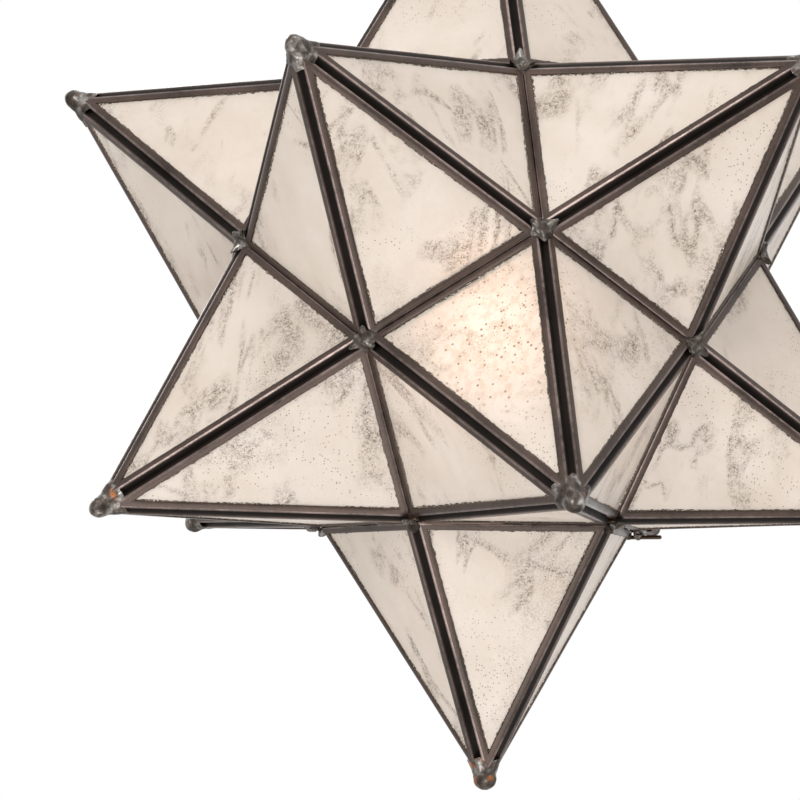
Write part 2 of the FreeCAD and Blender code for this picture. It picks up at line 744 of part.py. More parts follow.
def bulb():
    """The screw base, and the frosted glass with its straight neck."""
    shoulder = base_top - size.stud_tall
    turned("bulb_base", (
        (ZERO, base_low), (size.base_radius, base_low), (size.base_radius, shoulder),
        (size.stud_radius, shoulder), (size.stud_radius, base_top), (ZERO, base_top)))
    neck = size.base_radius - size.bulb_wall
    low = -size.bulb_drop - size.bulb_radius
    wide = size.bulb_radius
    upper = size.bulb_bevel - size.bulb_drop
    turned("bulb_glass", (
        (ZERO, low), (wide - size.bulb_bevel, low), (wide, low + size.bulb_bevel), (wide, upper),
        (neck, size.holder_low), (neck, base_low - size.solder_gap),
        (ZERO, base_low - size.solder_gap)))


star_points()
star_solder()
rim_solder()
door_solder()
hinge()
tongues()
cap_and_plate()
stem_and_eye()
lampholder()
bulb()
doc.recompute()

# -------------------------------------------------------------------- export
os.makedirs("parts", exist_ok=True)
for obj in doc.Objects:
    troubles = [state for state in obj.State if state in ("Invalid", "Error")]
    if troubles:
        raise RuntimeError(f"{obj.Name}: {troubles}")
for body in [obj for obj in doc.Objects if obj.TypeId == "PartDesign::Body"]:
    shape = body.Shape
    if shape.isNull() or not shape.isValid() or not shape.Solids:
        raise RuntimeError(f"{body.Label} has no sound solid")
    shape.exportStep(f"parts/{body.Label}.step")
    print(body.Label, len(shape.Solids), f"{shape.Volume:.0f}")
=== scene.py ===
# %% [markdown]
# # A twelve-point glass star, dressed for the camera
# The lamp is a star of glass panes, each held in a thin metal channel called came,
# with solder wherever cames meet.  Its solids could be modelled here a second time,
# but two models soon drift apart.  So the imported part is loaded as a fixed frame.
# Solids that look right get a material, and finer pieces replace the plain ones.

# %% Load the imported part
import json
import math

import bpy
from mathutils import Matrix, Vector, noise


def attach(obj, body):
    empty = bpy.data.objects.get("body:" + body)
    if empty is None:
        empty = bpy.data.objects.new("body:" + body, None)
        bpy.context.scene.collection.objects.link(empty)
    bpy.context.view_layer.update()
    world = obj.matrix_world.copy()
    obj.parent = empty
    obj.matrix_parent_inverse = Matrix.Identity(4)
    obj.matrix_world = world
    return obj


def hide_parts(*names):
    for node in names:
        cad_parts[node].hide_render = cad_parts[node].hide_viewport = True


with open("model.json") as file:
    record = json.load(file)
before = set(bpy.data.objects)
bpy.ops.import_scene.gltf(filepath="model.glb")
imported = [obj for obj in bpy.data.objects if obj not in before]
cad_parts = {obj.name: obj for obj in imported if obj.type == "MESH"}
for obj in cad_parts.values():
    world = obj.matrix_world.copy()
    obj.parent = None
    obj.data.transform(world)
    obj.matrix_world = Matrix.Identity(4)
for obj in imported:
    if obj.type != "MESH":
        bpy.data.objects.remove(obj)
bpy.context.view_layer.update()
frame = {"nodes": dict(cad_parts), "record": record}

# %% [markdown]
# ## The star's sizes
# The star is a ball of twelve pentagons (a dodecahedron) with a five-sided pyramid on
# each.  Its corners could be typed in as a list of points.  Two sizes, a side and a
# pyramid's height, give all the others by formula, and then nothing can be out of line.

# %% Sizes, in metres
MM = 0.001
EDGE = 97 * MM
POINT_HEIGHT = 127 * MM
FIFTH = math.radians(72)
INRADIUS = EDGE * math.sqrt(250 + 110 * math.sqrt(5)) / 20
CIRCUMRADIUS = EDGE * math.sqrt(3) * (1 + math.sqrt(5)) / 4
APOTHEM = EDGE / 2 / math.tan(FIFTH / 2)
CORNER = EDGE / 2 / math.sin(FIFTH / 2)
TIP = INRADIUS + POINT_HEIGHT
SLANT = math.hypot(APOTHEM, POINT_HEIGHT)
RIDGE = math.hypot(SLANT, EDGE / 2)
LEAN_OUT = POINT_HEIGHT / SLANT
LEAN_UP = APOTHEM / SLANT

TOP_CUT = 26 * MM
CAP_TOP = TIP - TOP_CUT + 1.5 * MM
EYE_HEIGHT = CAP_TOP + 21.8 * MM
CENTRE = Vector((0, 0, -EYE_HEIGHT))
RIM = CENTRE.z - INRADIUS
DOOR_DROP = 0.4 * MM
print("tip to tip:", round(2 * TIP, 4), "m; star centre at", round(CENTRE.z, 4))

# %% [markdown]
# ## Where the twelve points stand
# On the real star each point is the same pyramid, soldered on in another direction.
# So one pyramid is worked out along the Z axis, and twelve turns put it in place.
# The lowest point is the door, which hangs a hair lower so that it can swing.

# %% Twelve directions
FRONT, BACK = -math.pi / 2, math.pi / 2
RIM_TILT = math.acos(INRADIUS / CIRCUMRADIUS)
WAIST_TILT = RIM_TILT + 2 * math.asin(EDGE / 2 / CIRCUMRADIUS)
UPPER_TILT = math.atan(2)


def turned_to(azimuth, tilt, spin=0.0):
    return (Matrix.Rotation(azimuth, 4, "Z") @ Matrix.Rotation(tilt, 4, "Y")
            @ Matrix.Rotation(spin, 4, "Z"))


POINTS = {}
for number in range(5):
    low_way, high_way = FRONT + FIFTH * number, FRONT + FIFTH * (number + 0.5)
    POINTS[f"lower_point_{number + 1}"] = turned_to(low_way, math.pi - UPPER_TILT)
    POINTS[f"upper_point_{number + 1}"] = turned_to(high_way, UPPER_TILT, math.pi)
POINTS["top_point"] = turned_to(FRONT + FIFTH / 2, 0)
POINTS["door"] = turned_to(FRONT, 0) @ Matrix.Rotation(math.pi, 4, "X")


def centre_of(name):
    return CENTRE - Vector((0, 0, DOOR_DROP)) if name == "door" else CENTRE


def body_of_point(name):
    return "door" if name == "door" else "star"


print("points:", ", ".join(POINTS))

# %% [markdown]
# ## Nodes in few words
# A material is a tree of nodes.  It could be wired by hand in the shader editor, but
# in a script each node takes several lines.  These helpers take one line each: one
# joins two sockets, and the others add a node, arithmetic, a ramp, a noise or a bump.

# %% Helpers that add nodes


def new_material(name):
    material = bpy.data.materials.new(name)
    material.use_nodes = True
    tree = material.node_tree
    return material, tree, tree.nodes["Principled BSDF"]


def node(tree, kind, **settings):
    made = tree.nodes.new(kind)
    for key, value in settings.items():
        setattr(made, key, value)
    return made


def join(tree, socket, value):
    """Link a socket to another socket, or set it to a number or a colour."""
    if isinstance(value, bpy.types.NodeSocket):
        tree.links.new(value, socket)
    elif isinstance(value, tuple):
        socket.default_value = (*value, 1)
    else:
        socket.default_value = value


def maths(tree, operation, first, second):
    made = node(tree, "ShaderNodeMath", operation=operation)
    join(tree, made.inputs[0], first)
    join(tree, made.inputs[1], second)
    return made.outputs[0]


def times(tree, first, second):
    return maths(tree, "MULTIPLY", first, second)


def blend_colour(tree, factor, first, second):
    made = node(tree, "ShaderNodeMix", data_type="RGBA")
    for place, value in ((0, factor), (6, first), (7, second)):
        join(tree, made.inputs[place], value)
    return made.outputs[2]


print("helpers: new_material, node, join, maths, times, blend_colour")

# %% [markdown]
# ## Ramps, noises and bumps
# Nothing handmade has one even colour, so every finish below starts from a noise.
# A ramp or a span picks the part of the noise to use, and a bump turns it into
# shallow relief.  Noise needs no picture file and holds at any zoom.

# %% Helpers that shape a noise


def ramp(tree, factor, *stops):
    """A colour ramp; each stop is a place and a grey or a colour."""
    made = node(tree, "ShaderNodeValToRGB")
    elements = made.color_ramp.elements
    while len(elements) < len(stops):
        elements.new(0.5)
    for element, (place, colour) in zip(elements, stops):
        element.position = place
        element.color = (*colour, 1) if isinstance(colour, tuple) else (*(colour,) * 3, 1)
    tree.links.new(factor, made.inputs["Fac"])
    return made.outputs["Color"]


def span(tree, value, low, high, first=0.0, last=1.0):
    """Turn low..high into first..last, and hold the ends."""
    made = node(tree, "ShaderNodeMapRange")
    for place, given in enumerate((value, low, high, first, last)):
        join(tree, made.inputs[place], given)
    return made.outputs[0]


def place_vector(tree, stretch=(1, 1, 1), turn=(0, 0, 0)):
    """Object coordinates, turned and stretched."""
    coordinates = node(tree, "ShaderNodeTexCoord")
    mapping = node(tree, "ShaderNodeMapping")
    mapping.inputs["Scale"].default_value = stretch
    mapping.inputs["Rotation"].default_value = turn
    tree.links.new(coordinates.outputs["Object"], mapping.inputs["Vector"])
    return mapping.outputs["Vector"]


def noise_of(tree, scale, detail=3.0, rough=0.5, vector=None, distortion=0.0):
    made = node(tree, "ShaderNodeTexNoise")
    values = {"Scale": scale, "Detail": detail, "Roughness": rough, "Distortion": distortion,
              "Vector": vector or place_vector(tree)}
    for name, value in values.items():
        join(tree, made.inputs[name], value)
    return made.outputs["Fac"]


def bump(tree, shader, height, strength, distance):
    made = node(tree, "ShaderNodeBump")
    for name, value in (("Strength", strength), ("Distance", distance), ("Height", height)):
        join(tree, made.inputs[name], value)
    tree.links.new(made.outputs["Normal"], shader.inputs["Normal"])


print("helpers: ramp, span, place_vector, noise_of, bump")

# %% [markdown]
# ## Effects that several finishes share
# The same patina lies on all the brass, and the same stain on all the solder.  Its
# nodes could be copied into each material, but then a change has to be made many
# times.  A node group is made once, and each material sets only its own values.

# %% Helpers for node groups
COLOUR, NUMBER = "NodeSocketColor", "NodeSocketFloat"


def effect(name, inputs, outputs):
    """An empty node group, with the sockets that its nodes take from and give to."""
    tree = bpy.data.node_groups.new(name, "ShaderNodeTree")
    for way, sockets in (("INPUT", inputs), ("OUTPUT", outputs)):
        for socket, kind in sockets.items():
            tree.interface.new_socket(name=socket, in_out=way, socket_type=kind)
    return tree, node(tree, "NodeGroupInput").outputs, node(tree, "NodeGroupOutput").inputs


def placed(tree, group, **values):
    """Put a shared effect into a material, with this material's own values."""
    made = node(tree, "ShaderNodeGroup", node_tree=group)
    for name, value in values.items():
        join(tree, made.inputs[name.replace("_", " ")], value)
    return made.outputs


print("helpers: effect, placed")

# %% [markdown]
# ## Patina
# The cames are brass under a dark brown film.  It is thinner in some places, where a
# warmer brown shows and the metal is smoother.  A slow noise makes these clouds, and
# a fine one adds the grain of the film.

# %% The patina group
patina, given, result = effect(
    "patina", {"Dark": COLOUR, "Light": COLOUR, "Grain Scale": NUMBER, "Smooth": NUMBER,
               "Rough": NUMBER}, {"Color": COLOUR, "Roughness": NUMBER, "Height": NUMBER})
cloud = noise_of(patina, 28, 5, 0.6)
fine = noise_of(patina, given["Grain Scale"], 3, 0.6)
mixed = maths(patina, "ADD", times(patina, cloud, 0.65), times(patina, fine, 0.35))
join(patina, result["Color"],
     blend_colour(patina, span(patina, mixed, 0.32, 0.68), given["Dark"], given["Light"]))
join(patina, result["Roughness"], span(patina, cloud, 0.3, 0.7, given["Smooth"], given["Rough"]))
join(patina, result["Height"], fine)
print("patina takes:", [socket.name for socket in given if socket.name])

# %% [markdown]
# ## Brass and steel
# A came takes three finishes: the patina on its faces, a near-black matte finish in the
# grooves between cames, which is painted shade, and a lighter, glossier finish on the
# flanges' outer edges, which is a painted highlight.  They could be painted on as one
# mask, but separate finishes stay sharp along the bends, as the real ones do.

# %% Metals under patina


def brushed(name, dark, light, roughness, metallic, grain=900):
    """A metal whose patina runs between two colours and two roughnesses."""
    material, tree, shader = new_material(name)
    film = placed(tree, patina, Dark=dark, Light=light, Grain_Scale=grain,
                  Smooth=roughness[0], Rough=roughness[1])
    join(tree, shader.inputs["Base Color"], film["Color"])
    join(tree, shader.inputs["Roughness"], film["Roughness"])
    shader.inputs["Metallic"].default_value = metallic
    bump(tree, shader, film["Height"], 0.12, 0.3 * MM)
    return material


came_metal = brushed("came_metal", (0.022, 0.014, 0.010), (0.090, 0.057, 0.044), (0.26, 0.44), 0.5)
# Near-black matte finish for the came faces in the grooves between frames: painted shade.
came_groove_shade = brushed("came_groove_shade", (0.004, 0.003, 0.002), (0.016, 0.008, 0.005), (0.45, 0.7), 0.0)
# Lighter, glossier finish for the flanges' outer edges: painted highlight.
came_edge_highlight = brushed("came_edge_highlight", (0.04, 0.026, 0.021), (0.27, 0.21, 0.19), (0.18, 0.40), 0.85, 300)
dark_brass = brushed("dark_brass", (0.03, 0.019, 0.012), (0.095, 0.060, 0.038), (0.3, 0.5), 0.7)
bright_brass = brushed("bright_brass", (0.55, 0.36, 0.13), (0.80, 0.58, 0.26), (0.18, 0.35), 1.0)
base_metal = brushed("base_metal", (0.5, 0.5, 0.49), (0.72, 0.71, 0.69), (0.2, 0.35), 1.0)
print("metals:", [m.name for m in (came_metal, came_groove_shade, came_edge_highlight, dark_brass, bright_brass,
                                   base_metal)])

# %% [markdown]
# ## Solder
# The solder is tin and lead, laid on with an iron and stained dark with the patina.
# The stain stays in its hollows, the high spots are rubbed grey, and in a few places
# copper comes through.  The stain's noise also drives gloss and relief, so that the
# dark spots are the dull and deep ones.

# %% The solder group and its two finishes
stained, given, result = effect(
    "solder_stain", {"Dark": COLOUR, "Middle": COLOUR, "Light": COLOUR, "Copper From": NUMBER},
    {"Color": COLOUR, "Roughness": NUMBER, "Height": NUMBER})
stain = noise_of(stained, 190, 3, 0.55)
grey = blend_colour(stained, span(stained, stain, 0.30, 0.50), given["Dark"], given["Middle"])
grey = blend_colour(stained, span(stained, stain, 0.50, 0.68), grey, given["Light"])
copper_to = maths(stained, "ADD", given["Copper From"], 0.06)
copper = span(stained, noise_of(stained, 75, 2, 0.5), given["Copper From"], copper_to)
join(stained, result["Color"], blend_colour(stained, copper, grey, (0.30, 0.11, 0.04)))
join(stained, result["Roughness"], span(stained, stain, 0.30, 0.65, 0.58, 0.30))
join(stained, result["Height"], stain)


def solder(name, dark, middle, light, copper_from):
    material, tree, shader = new_material(name)
    tin = placed(tree, stained, Dark=dark, Middle=middle, Light=light, Copper_From=copper_from)
    join(tree, shader.inputs["Base Color"], tin["Color"])
    join(tree, shader.inputs["Roughness"], tin["Roughness"])
    shader.inputs["Metallic"].default_value = 0.8
    bump(tree, shader, tin["Height"], 0.22, 0.8 * MM)
    return material


solder_grey = solder("solder_grey", (0.022, 0.016, 0.012), (0.075, 0.062, 0.052),
                     (0.26, 0.24, 0.22), 0.72)
tip_solder_metal = solder("tip_solder_metal", (0.024, 0.017, 0.013), (0.080, 0.064, 0.054),
                          (0.32, 0.30, 0.28), 0.62)
print("solder:", solder_grey.name, "and", tip_solder_metal.name)

# %% [markdown]
# ## Cement
# Glass is bedded in the came with a putty-like cement, and a crumbly line of it shows
# along each flange.  It is mostly dark, with a few pale crumbs that catch the light,
# so one fine noise runs through four colours.

# %% The cement's crumbs
cement, tree, shader = new_material("cement")
crumb = noise_of(tree, 1500, 3, 0.7)
join(tree, shader.inputs["Base Color"],
     ramp(tree, crumb, (0.38, (0.016, 0.010, 0.006)), (0.52, (0.060, 0.040, 0.024)),
          (0.58, (0.30, 0.23, 0.15)), (0.64, (0.86, 0.80, 0.70))))
join(tree, shader.inputs["Roughness"], ramp(tree, crumb, (0.3, 0.75), (0.7, 0.35)))
bump(tree, shader, crumb, 0.6, 0.6 * MM)
print("cement:", cement.name)

# %% [markdown]
# ## Glass: wisps of grain
# The panes are milky seeded glass with grey-brown wisps, as on an old mirror.  A noise
# alone gives round spots.  Wisps come from taking only the values near its middle,
# because these lie on winding lines.  Two layers, stretched two ways, cross each other,
# and finer noises break them up into grain.

# %% Wisps and smudges
cream_glass, tree, shader = new_material("cream_glass")
grain = ramp(tree, noise_of(tree, 1300, 3, 0.7), (0.47, 0.0), (0.55, 1.0))
coarse = ramp(tree, noise_of(tree, 480, 4, 0.8), (0.45, 0.0), (0.54, 1.0))


def wisps(tree, scale, stretch, turn, clump_scale):
    """Bands where a slow noise crosses its middle, shown in clumps."""
    slow = noise_of(tree, scale, 3, 0.55, place_vector(tree, stretch, turn), 1.4)
    off_middle = maths(tree, "ABSOLUTE", maths(tree, "SUBTRACT", slow, 0.5), 0.0)
    vein = ramp(tree, off_middle, (0.0, 1.0), (0.042, 0.0))
    clump = ramp(tree, noise_of(tree, clump_scale, 3, 0.6), (0.49, 0.0), (0.60, 1.0))
    return times(tree, vein, clump)


bands = maths(tree, "MAXIMUM", wisps(tree, 8.5, (1, 1, 0.6), (0.5, 0.35, 0.2), 26),
              wisps(tree, 10, (1.5, 1.5, 0.4), (0.3, -0.6, 1.0), 24))
slanted = place_vector(tree, (1.6, 1.6, 0.6), (0.2, 0.5, 0))
smudge = ramp(tree, noise_of(tree, 15, 4, 0.65, slanted), (0.56, 0.0), (0.68, 1.0))
smudges = times(tree, maths(tree, "MAXIMUM", smudge, bands), grain)
broken = times(tree, coarse, maths(tree, "ADD", times(tree, grain, 0.6), 0.4))
print("wisps and smudges:", len(tree.nodes), "nodes so far")

# %% [markdown]
# ## Glass: where the lamp shines through
# Against the bulb the glass shows what's in it: the wisps fade, and larger seeds and
# warm mottling appear.  A real pane has them all over, but they're only seen there, so
# this backlit look is painted light, put into the colour of that part only.  A distance
# from the brightest spot of the front pane marks out that part.

# %% The part in front of the bulb
GLOW = CENTRE + Vector((-0.0195, -0.149, -0.025))
around_glow = node(tree, "ShaderNodeVectorMath", operation="DISTANCE")
tree.links.new(place_vector(tree), around_glow.inputs[0])
around_glow.inputs[1].default_value = GLOW
backlit_zone = ramp(tree, around_glow.outputs["Value"], (28 * MM, 1.0), (52 * MM, 0.0))
# Painted backlight: near the glow the wisps fade out and warm mottling is painted in.
backlit_fade = maths(tree, "SUBTRACT", 1.0, times(tree, backlit_zone, 0.65))
veins = times(tree, times(tree, bands, broken), backlit_fade)
mottle = times(tree, ramp(tree, noise_of(tree, 210, 3, 0.6), (0.48, 0.0), (0.60, 0.32)),
               backlit_zone)
print("the glow lies at", [round(value, 3) for value in GLOW])

# %% [markdown]
# ## Glass: seeds
# Seeds are the round bubbles and specks in the glass.  They could be modelled as small
# balls, but there are thousands.  A texture of cells gives each cell one middle, and
# a dot is drawn round it.  Some cells are left out, and so are whole zones.

# %% Seeds


def seeds(tree, scale, radius, share, zone_scale, zone_from):
    """Round seeds, at most one to a cell, in some parts of the glass only."""
    cells = node(tree, "ShaderNodeTexVoronoi")
    for name, value in (("Scale", scale), ("Randomness", 1.0), ("Vector", place_vector(tree))):
        join(tree, cells.inputs[name], value)
    dots = ramp(tree, cells.outputs["Distance"], (radius * 0.5, 1.0), (radius, 0.0))
    parts = node(tree, "ShaderNodeSeparateColor")
    tree.links.new(cells.outputs["Color"], parts.inputs["Color"])
    chosen = maths(tree, "LESS_THAN", parts.outputs["Red"], share)
    zone = ramp(tree, noise_of(tree, zone_scale, 2, 0.5), (zone_from, 0.0), (zone_from + 0.1, 1.0))
    return times(tree, times(tree, dots, chosen), zone)


fine_seeds = seeds(tree, 760, 0.30, 0.35, 17, 0.50)
# Large seeds only near the glow: painted backlight.
backlit_seeds = times(tree, seeds(tree, 320, 0.25, 0.8, 30, 0.32), backlit_zone)
print("seeds: fine ones all over, large ones near the glow")

# %% [markdown]
# ## Glass: the finished pane
# The colours are laid over each other as they lie in the glass: milk, smudges, veins,
# mottling, seeds.  Milky glass could be a volume that scatters light, but that takes
# long to render.  A third of the light passes and the rest is scattered at the surface,
# which shows the bulb as a soft glow and hides what is behind the pane.

# %% The pane's colour and gloss
milk = ramp(tree, noise_of(tree, 30, 4, 0.6), (0.3, (0.79, 0.69, 0.595)), (0.7, (0.88, 0.80, 0.72)))
LAYERS = ((times(tree, smudges, 0.50), (0.40, 0.30, 0.22)),
          (times(tree, veins, 0.95), (0.13, 0.085, 0.055)),
          (mottle, (0.50, 0.33, 0.21)),
          (maths(tree, "MAXIMUM", fine_seeds, backlit_seeds), (0.22, 0.12, 0.055)))
pane_colour = milk
for mask, colour in LAYERS:
    pane_colour = blend_colour(tree, mask, pane_colour, colour)
join(tree, shader.inputs["Base Color"], pane_colour)
join(tree, shader.inputs["Roughness"], ramp(tree, grain, (0.0, 0.30), (1.0, 0.44)))
shader.inputs["Transmission Weight"].default_value = 0.36
shader.inputs["IOR"].default_value = 1.45
bump(tree, shader, noise_of(tree, 90, 3, 0.5), 0.3, 2 * MM)
print("cream_glass:", len(tree.nodes), "nodes,", len(LAYERS), "layers over the milk")

# %% [markdown]
# ## Frosted bulb, black plastic and pale floor
# These three are plain in life, yet none is perfectly even.  They share a group that
# drifts between two close tones.  The bulb glows by itself: its warm colour stands for
# the lamp inside it, so no light has to be hidden in the glass.

# %% The drifting tone and three finishes
drift, given, result = effect(
    "drifting_tone", {"Scale": NUMBER, "Detail": NUMBER, "From": NUMBER, "To": NUMBER,
                      "First": COLOUR, "Second": COLOUR}, {"Color": COLOUR})
place = span(drift, noise_of(drift, given["Scale"], given["Detail"]), given["From"], given["To"])
join(drift, result["Color"], blend_colour(drift, place, given["First"], given["Second"]))


def tone(tree, scale, detail, first, second, low=0.2, high=0.8):
    return placed(tree, drift, Scale=scale, Detail=detail, From=low, To=high, First=first,
                  Second=second)["Color"]


frosted, tree, shader = new_material("frosted_glass")
join(tree, shader.inputs["Emission Color"], tone(tree, 60, 2, (1.0, 0.70, 0.53), (1.0, 0.76, 0.61)))
join(tree, shader.inputs["Base Color"], tone(tree, 300, 2, (0.84,) * 3, (0.92,) * 3))
shader.inputs["Emission Strength"].default_value = 5.6
shader.inputs["Roughness"].default_value = 0.5

black_plastic, tree, shader = new_material("black_plastic")
join(tree, shader.inputs["Base Color"], tone(tree, 500, 3, (0.014,) * 3, (0.028,) * 3))
shader.inputs["Roughness"].default_value = 0.38

pale_floor, tree, shader = new_material("pale_floor")
join(tree, shader.inputs["Base Color"], tone(tree, 3, 2, (0.86,) * 3, (0.90,) * 3, 0.3, 0.7))
shader.inputs["Roughness"].default_value = 0.9
print("finishes:", [m.name for m in (frosted, black_plastic, pale_floor)])

# %% [markdown]
# ## Pieces from points and faces
# Blender can make pieces with modelling tools, but the star's pieces follow from its
# sizes.  So each is a plain list of points and faces.  It is shaded smooth except at
# sharp bends, takes its finishes, and is then put on the body it rides on, while the
# plain solid that it replaces is hidden.

# %% Helpers that make a piece


def mesh_piece(name, points, faces, material, bend=38, others=(), pick=None):
    """A mesh object; pick says which of the materials a face takes, by the face's index."""
    mesh = bpy.data.meshes.new(name)
    mesh.from_pydata([tuple(point) for point in points], [], faces)
    mesh.update()
    mesh.shade_smooth()
    mesh.set_sharp_from_angle(angle=math.radians(bend))
    made = bpy.data.objects.new(name, mesh)
    bpy.context.scene.collection.objects.link(made)
    for each in (material, *others):
        mesh.materials.append(each)
    if pick:
        for polygon in mesh.polygons:
            polygon.material_index = pick(polygon.index)
    return made


def dress(piece, body, slot, *nodes):
    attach(piece, body)
    if nodes:
        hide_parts(*nodes)


def gather(parts):
    """Join lists of points and faces into one pair."""
    points, faces = [], []
    for some, loops in parts:
        start = len(points)
        points += some
        faces += [tuple(index + start for index in face) for face in loops]
    return points, faces


def rings(rows, steps, closed=False, flipped=False):
    """The faces between rows of points, each row a ring; closed joins the last row on."""
    faces = []
    for row in range(rows if closed else rows - 1):
        here, after = row * steps, (row + 1) % rows * steps
        for step in range(steps):
            there = (step + 1) % steps
            face = (here + step, here + there, after + there, after + step)
            faces.append(face[:1] + face[:0:-1] if flipped else face)
    return faces


print("helpers: mesh_piece, dress, gather, rings")

# %% [markdown]
# ## The came's section
# Came is a strip bent to a U: two flanges hold the glass, and the web between them is
# the outer edge.  The section is a loop of points, each with its distance in from the
# edge of the triangle and its depth under the outer plane.  Short steps at the bends
# make them round, because a folded strip has no sharp corner.

# %% Section and finishes of a came
CAME = [(3.5, 0.90), (3.5, 0.42), (3.3, 0.12), (2.8, 0.0), (1.6, -0.04), (0.7, 0.0),
        (0.1, 0.14), (-0.35, 0.42), (-0.5, 0.9), (-0.35, 1.5), (0.0, 3.9), (-0.14, 4.6),
        (-0.18, 5.0), (3.2, 5.0), (3.5, 4.75), (3.5, 4.1), (1.2, 4.1), (1.2, 0.9)]
# Faces round a flange's outer edge take the painted highlight finish.
HIGHLIGHT_EDGE_ROWS = range(5, 7)         # the rows of faces round a flange's outer edge
# Faces that look into a groove take the painted shade finish.
GROOVE_SHADE_ROWS = range(8, 12)        # the rows of faces that look into a groove
CAME_DEPTH = 5 * MM
PLAY = 0.1 * MM
FACING = LEAN_OUT ** 2 * math.cos(FIFTH) + LEAN_UP ** 2
VALLEY_SETBACK = PLAY
RIDGE_SETBACK = CAME_DEPTH * math.sqrt((1 - FACING) / (1 + FACING)) + PLAY
FRAME_APEX = SLANT - RIDGE_SETBACK * RIDGE / (EDGE / 2)
CUT = SLANT - TOP_CUT * SLANT / POINT_HEIGHT
print("frames are set back", round(RIDGE_SETBACK / MM, 2), "mm along the ridges")

# %% [markdown]
# ## A pane's outline
# Each pane is a triangle in a leaning plane.  It's easier to work in that plane first,
# with one number across and one along, and to lift the result into space afterwards.
# The cap cuts the top point off, so its panes have four corners.

# %% From a pane's plane into space


def pane_corners(inset, top=None):
    """The corners of a pane's outline in its own plane, moved in by an inset."""
    low = VALLEY_SETBACK + max(inset, 0.0)
    apex = FRAME_APEX - inset * RIDGE / (EDGE / 2)
    wide = (apex - low) * EDGE / 2 / SLANT
    if top is None:
        return [(-wide, low), (wide, low), (0, apex)]
    high = top - inset
    narrow = (apex - high) * EDGE / 2 / SLANT
    return [(-wide, low), (wide, low), (narrow, high), (-narrow, high)]


def top_of(name):
    return CUT if name == "top_point" else None


def on_pane(across, along, depth, side):
    """A point under a pane's outer plane, in the frame of the point's axis."""
    out = APOTHEM - LEAN_UP * along - LEAN_OUT * depth
    up = INRADIUS + LEAN_OUT * along - LEAN_UP * depth
    return Matrix.Rotation(FIFTH * side, 3, "Z") @ Vector((out, across, up))


print("corners of a pane:", [(round(a, 4), round(b, 4)) for a, b in pane_corners(0)])

# %% [markdown]
# ## Sixty came frames
# Each frame is the section run round its triangle.  A curve with a bevel would do
# this too, but it gives no clean mitre at a sharp corner.  Here every point of the
# section follows its own inset triangle, so the mitres come by themselves.  The
# strip wanders and lifts a little between its corners, as if bent by hand.

# %% Came frames
SIDE_STEPS = 14
WANDER, LIFT = 0.16 * MM, 0.10 * MM


def came_frame(side, top, seed):
    """One frame: a ring of points for each corner of the section."""
    points = []
    for inset, depth in CAME:
        corners = pane_corners(inset * MM, top)
        for start, end in zip(corners, corners[1:] + corners[:1]):
            for step in range(SIDE_STEPS):
                t = step / SIDE_STEPS
                across = start[0] + (end[0] - start[0]) * t
                along = start[1] + (end[1] - start[1]) * t
                ease = math.sin(math.pi * t)
                sample = Vector((across * 60, along * 60, seed * 7.3))
                wander = noise.noise(sample) * WANDER * ease * (inset / 5)
                lift = noise.noise(sample + Vector((9, 4, 1))) * LIFT * ease
                points.append(on_pane(across, along + wander, depth * MM + lift, side))
    return points, rings(len(CAME), len(corners) * SIDE_STEPS, closed=True)


for order, (name, turn) in enumerate(POINTS.items()):
    frames = []
    for side in range(5):
        points, faces = came_frame(side, top_of(name), order * 5 + side)
        frames.append(([turn @ point + centre_of(name) for point in points], faces))
    ring = SIDE_STEPS * (4 if top_of(name) else 3)

    def part_of_came(index):
        row = index // ring % len(CAME)
        return 1 if row in GROOVE_SHADE_ROWS else 2 if row in HIGHLIGHT_EDGE_ROWS else 0

    # Groove faces take painted shade, and the flanges' outer edges take a painted highlight.
    cames = mesh_piece(f"{name}_cames_formed", *gather(frames), came_metal, 38,
                       (came_groove_shade, came_edge_highlight), part_of_came)
    dress(cames, body_of_point(name), "came_metal", f"{name}_cames")
print("came frames:", 5 * len(POINTS))

# %% [markdown]
# ## Cement along the glass
# A dark line shows where the glass goes under each flange.  It could be part of the
# glass's material, but real cement stands up from the pane and throws a shadow.  So
# it's a thin strip of its own.  Its width is uneven, and in places it almost stops.

# %% Strips of cement
GRIT_STEPS = 150
GRIT_INSET = 3.4 * MM
GRIT_DEPTHS = 0.55 * MM, 0.72 * MM, 1.04 * MM       # from the flange down to the glass


def grit_strip(start, end, side, seed):
    """A thin uneven fillet from a flange's edge down to the glass, along one side."""
    points = []
    inward = Vector((start[1] - end[1], end[0] - start[0])).normalized()
    for step in range(GRIT_STEPS + 1):
        t = step / GRIT_STEPS
        across = start[0] + (end[0] - start[0]) * t
        along = start[1] + (end[1] - start[1]) * t
        place = Vector((across * 90, along * 90, seed * 3.9))
        slow = noise.noise(place * 0.35 + Vector((2, 7, 1)))
        quick = noise.noise(place * 5.0) + 0.7 * noise.noise(place * 13.0)
        out = inward * (max(0.1, 0.45 + 0.8 * slow + 0.6 * quick) * MM)
        for share, depth in zip((0, 0.6, 1), GRIT_DEPTHS):
            points.append(on_pane(across + out.x * share, along + out.y * share, depth, side))
    faces = []
    for low in range(0, GRIT_STEPS * 3, 3):
        faces += [(low + row, low + row + 3, low + row + 4, low + row + 1) for row in (0, 1)]
    return points, faces


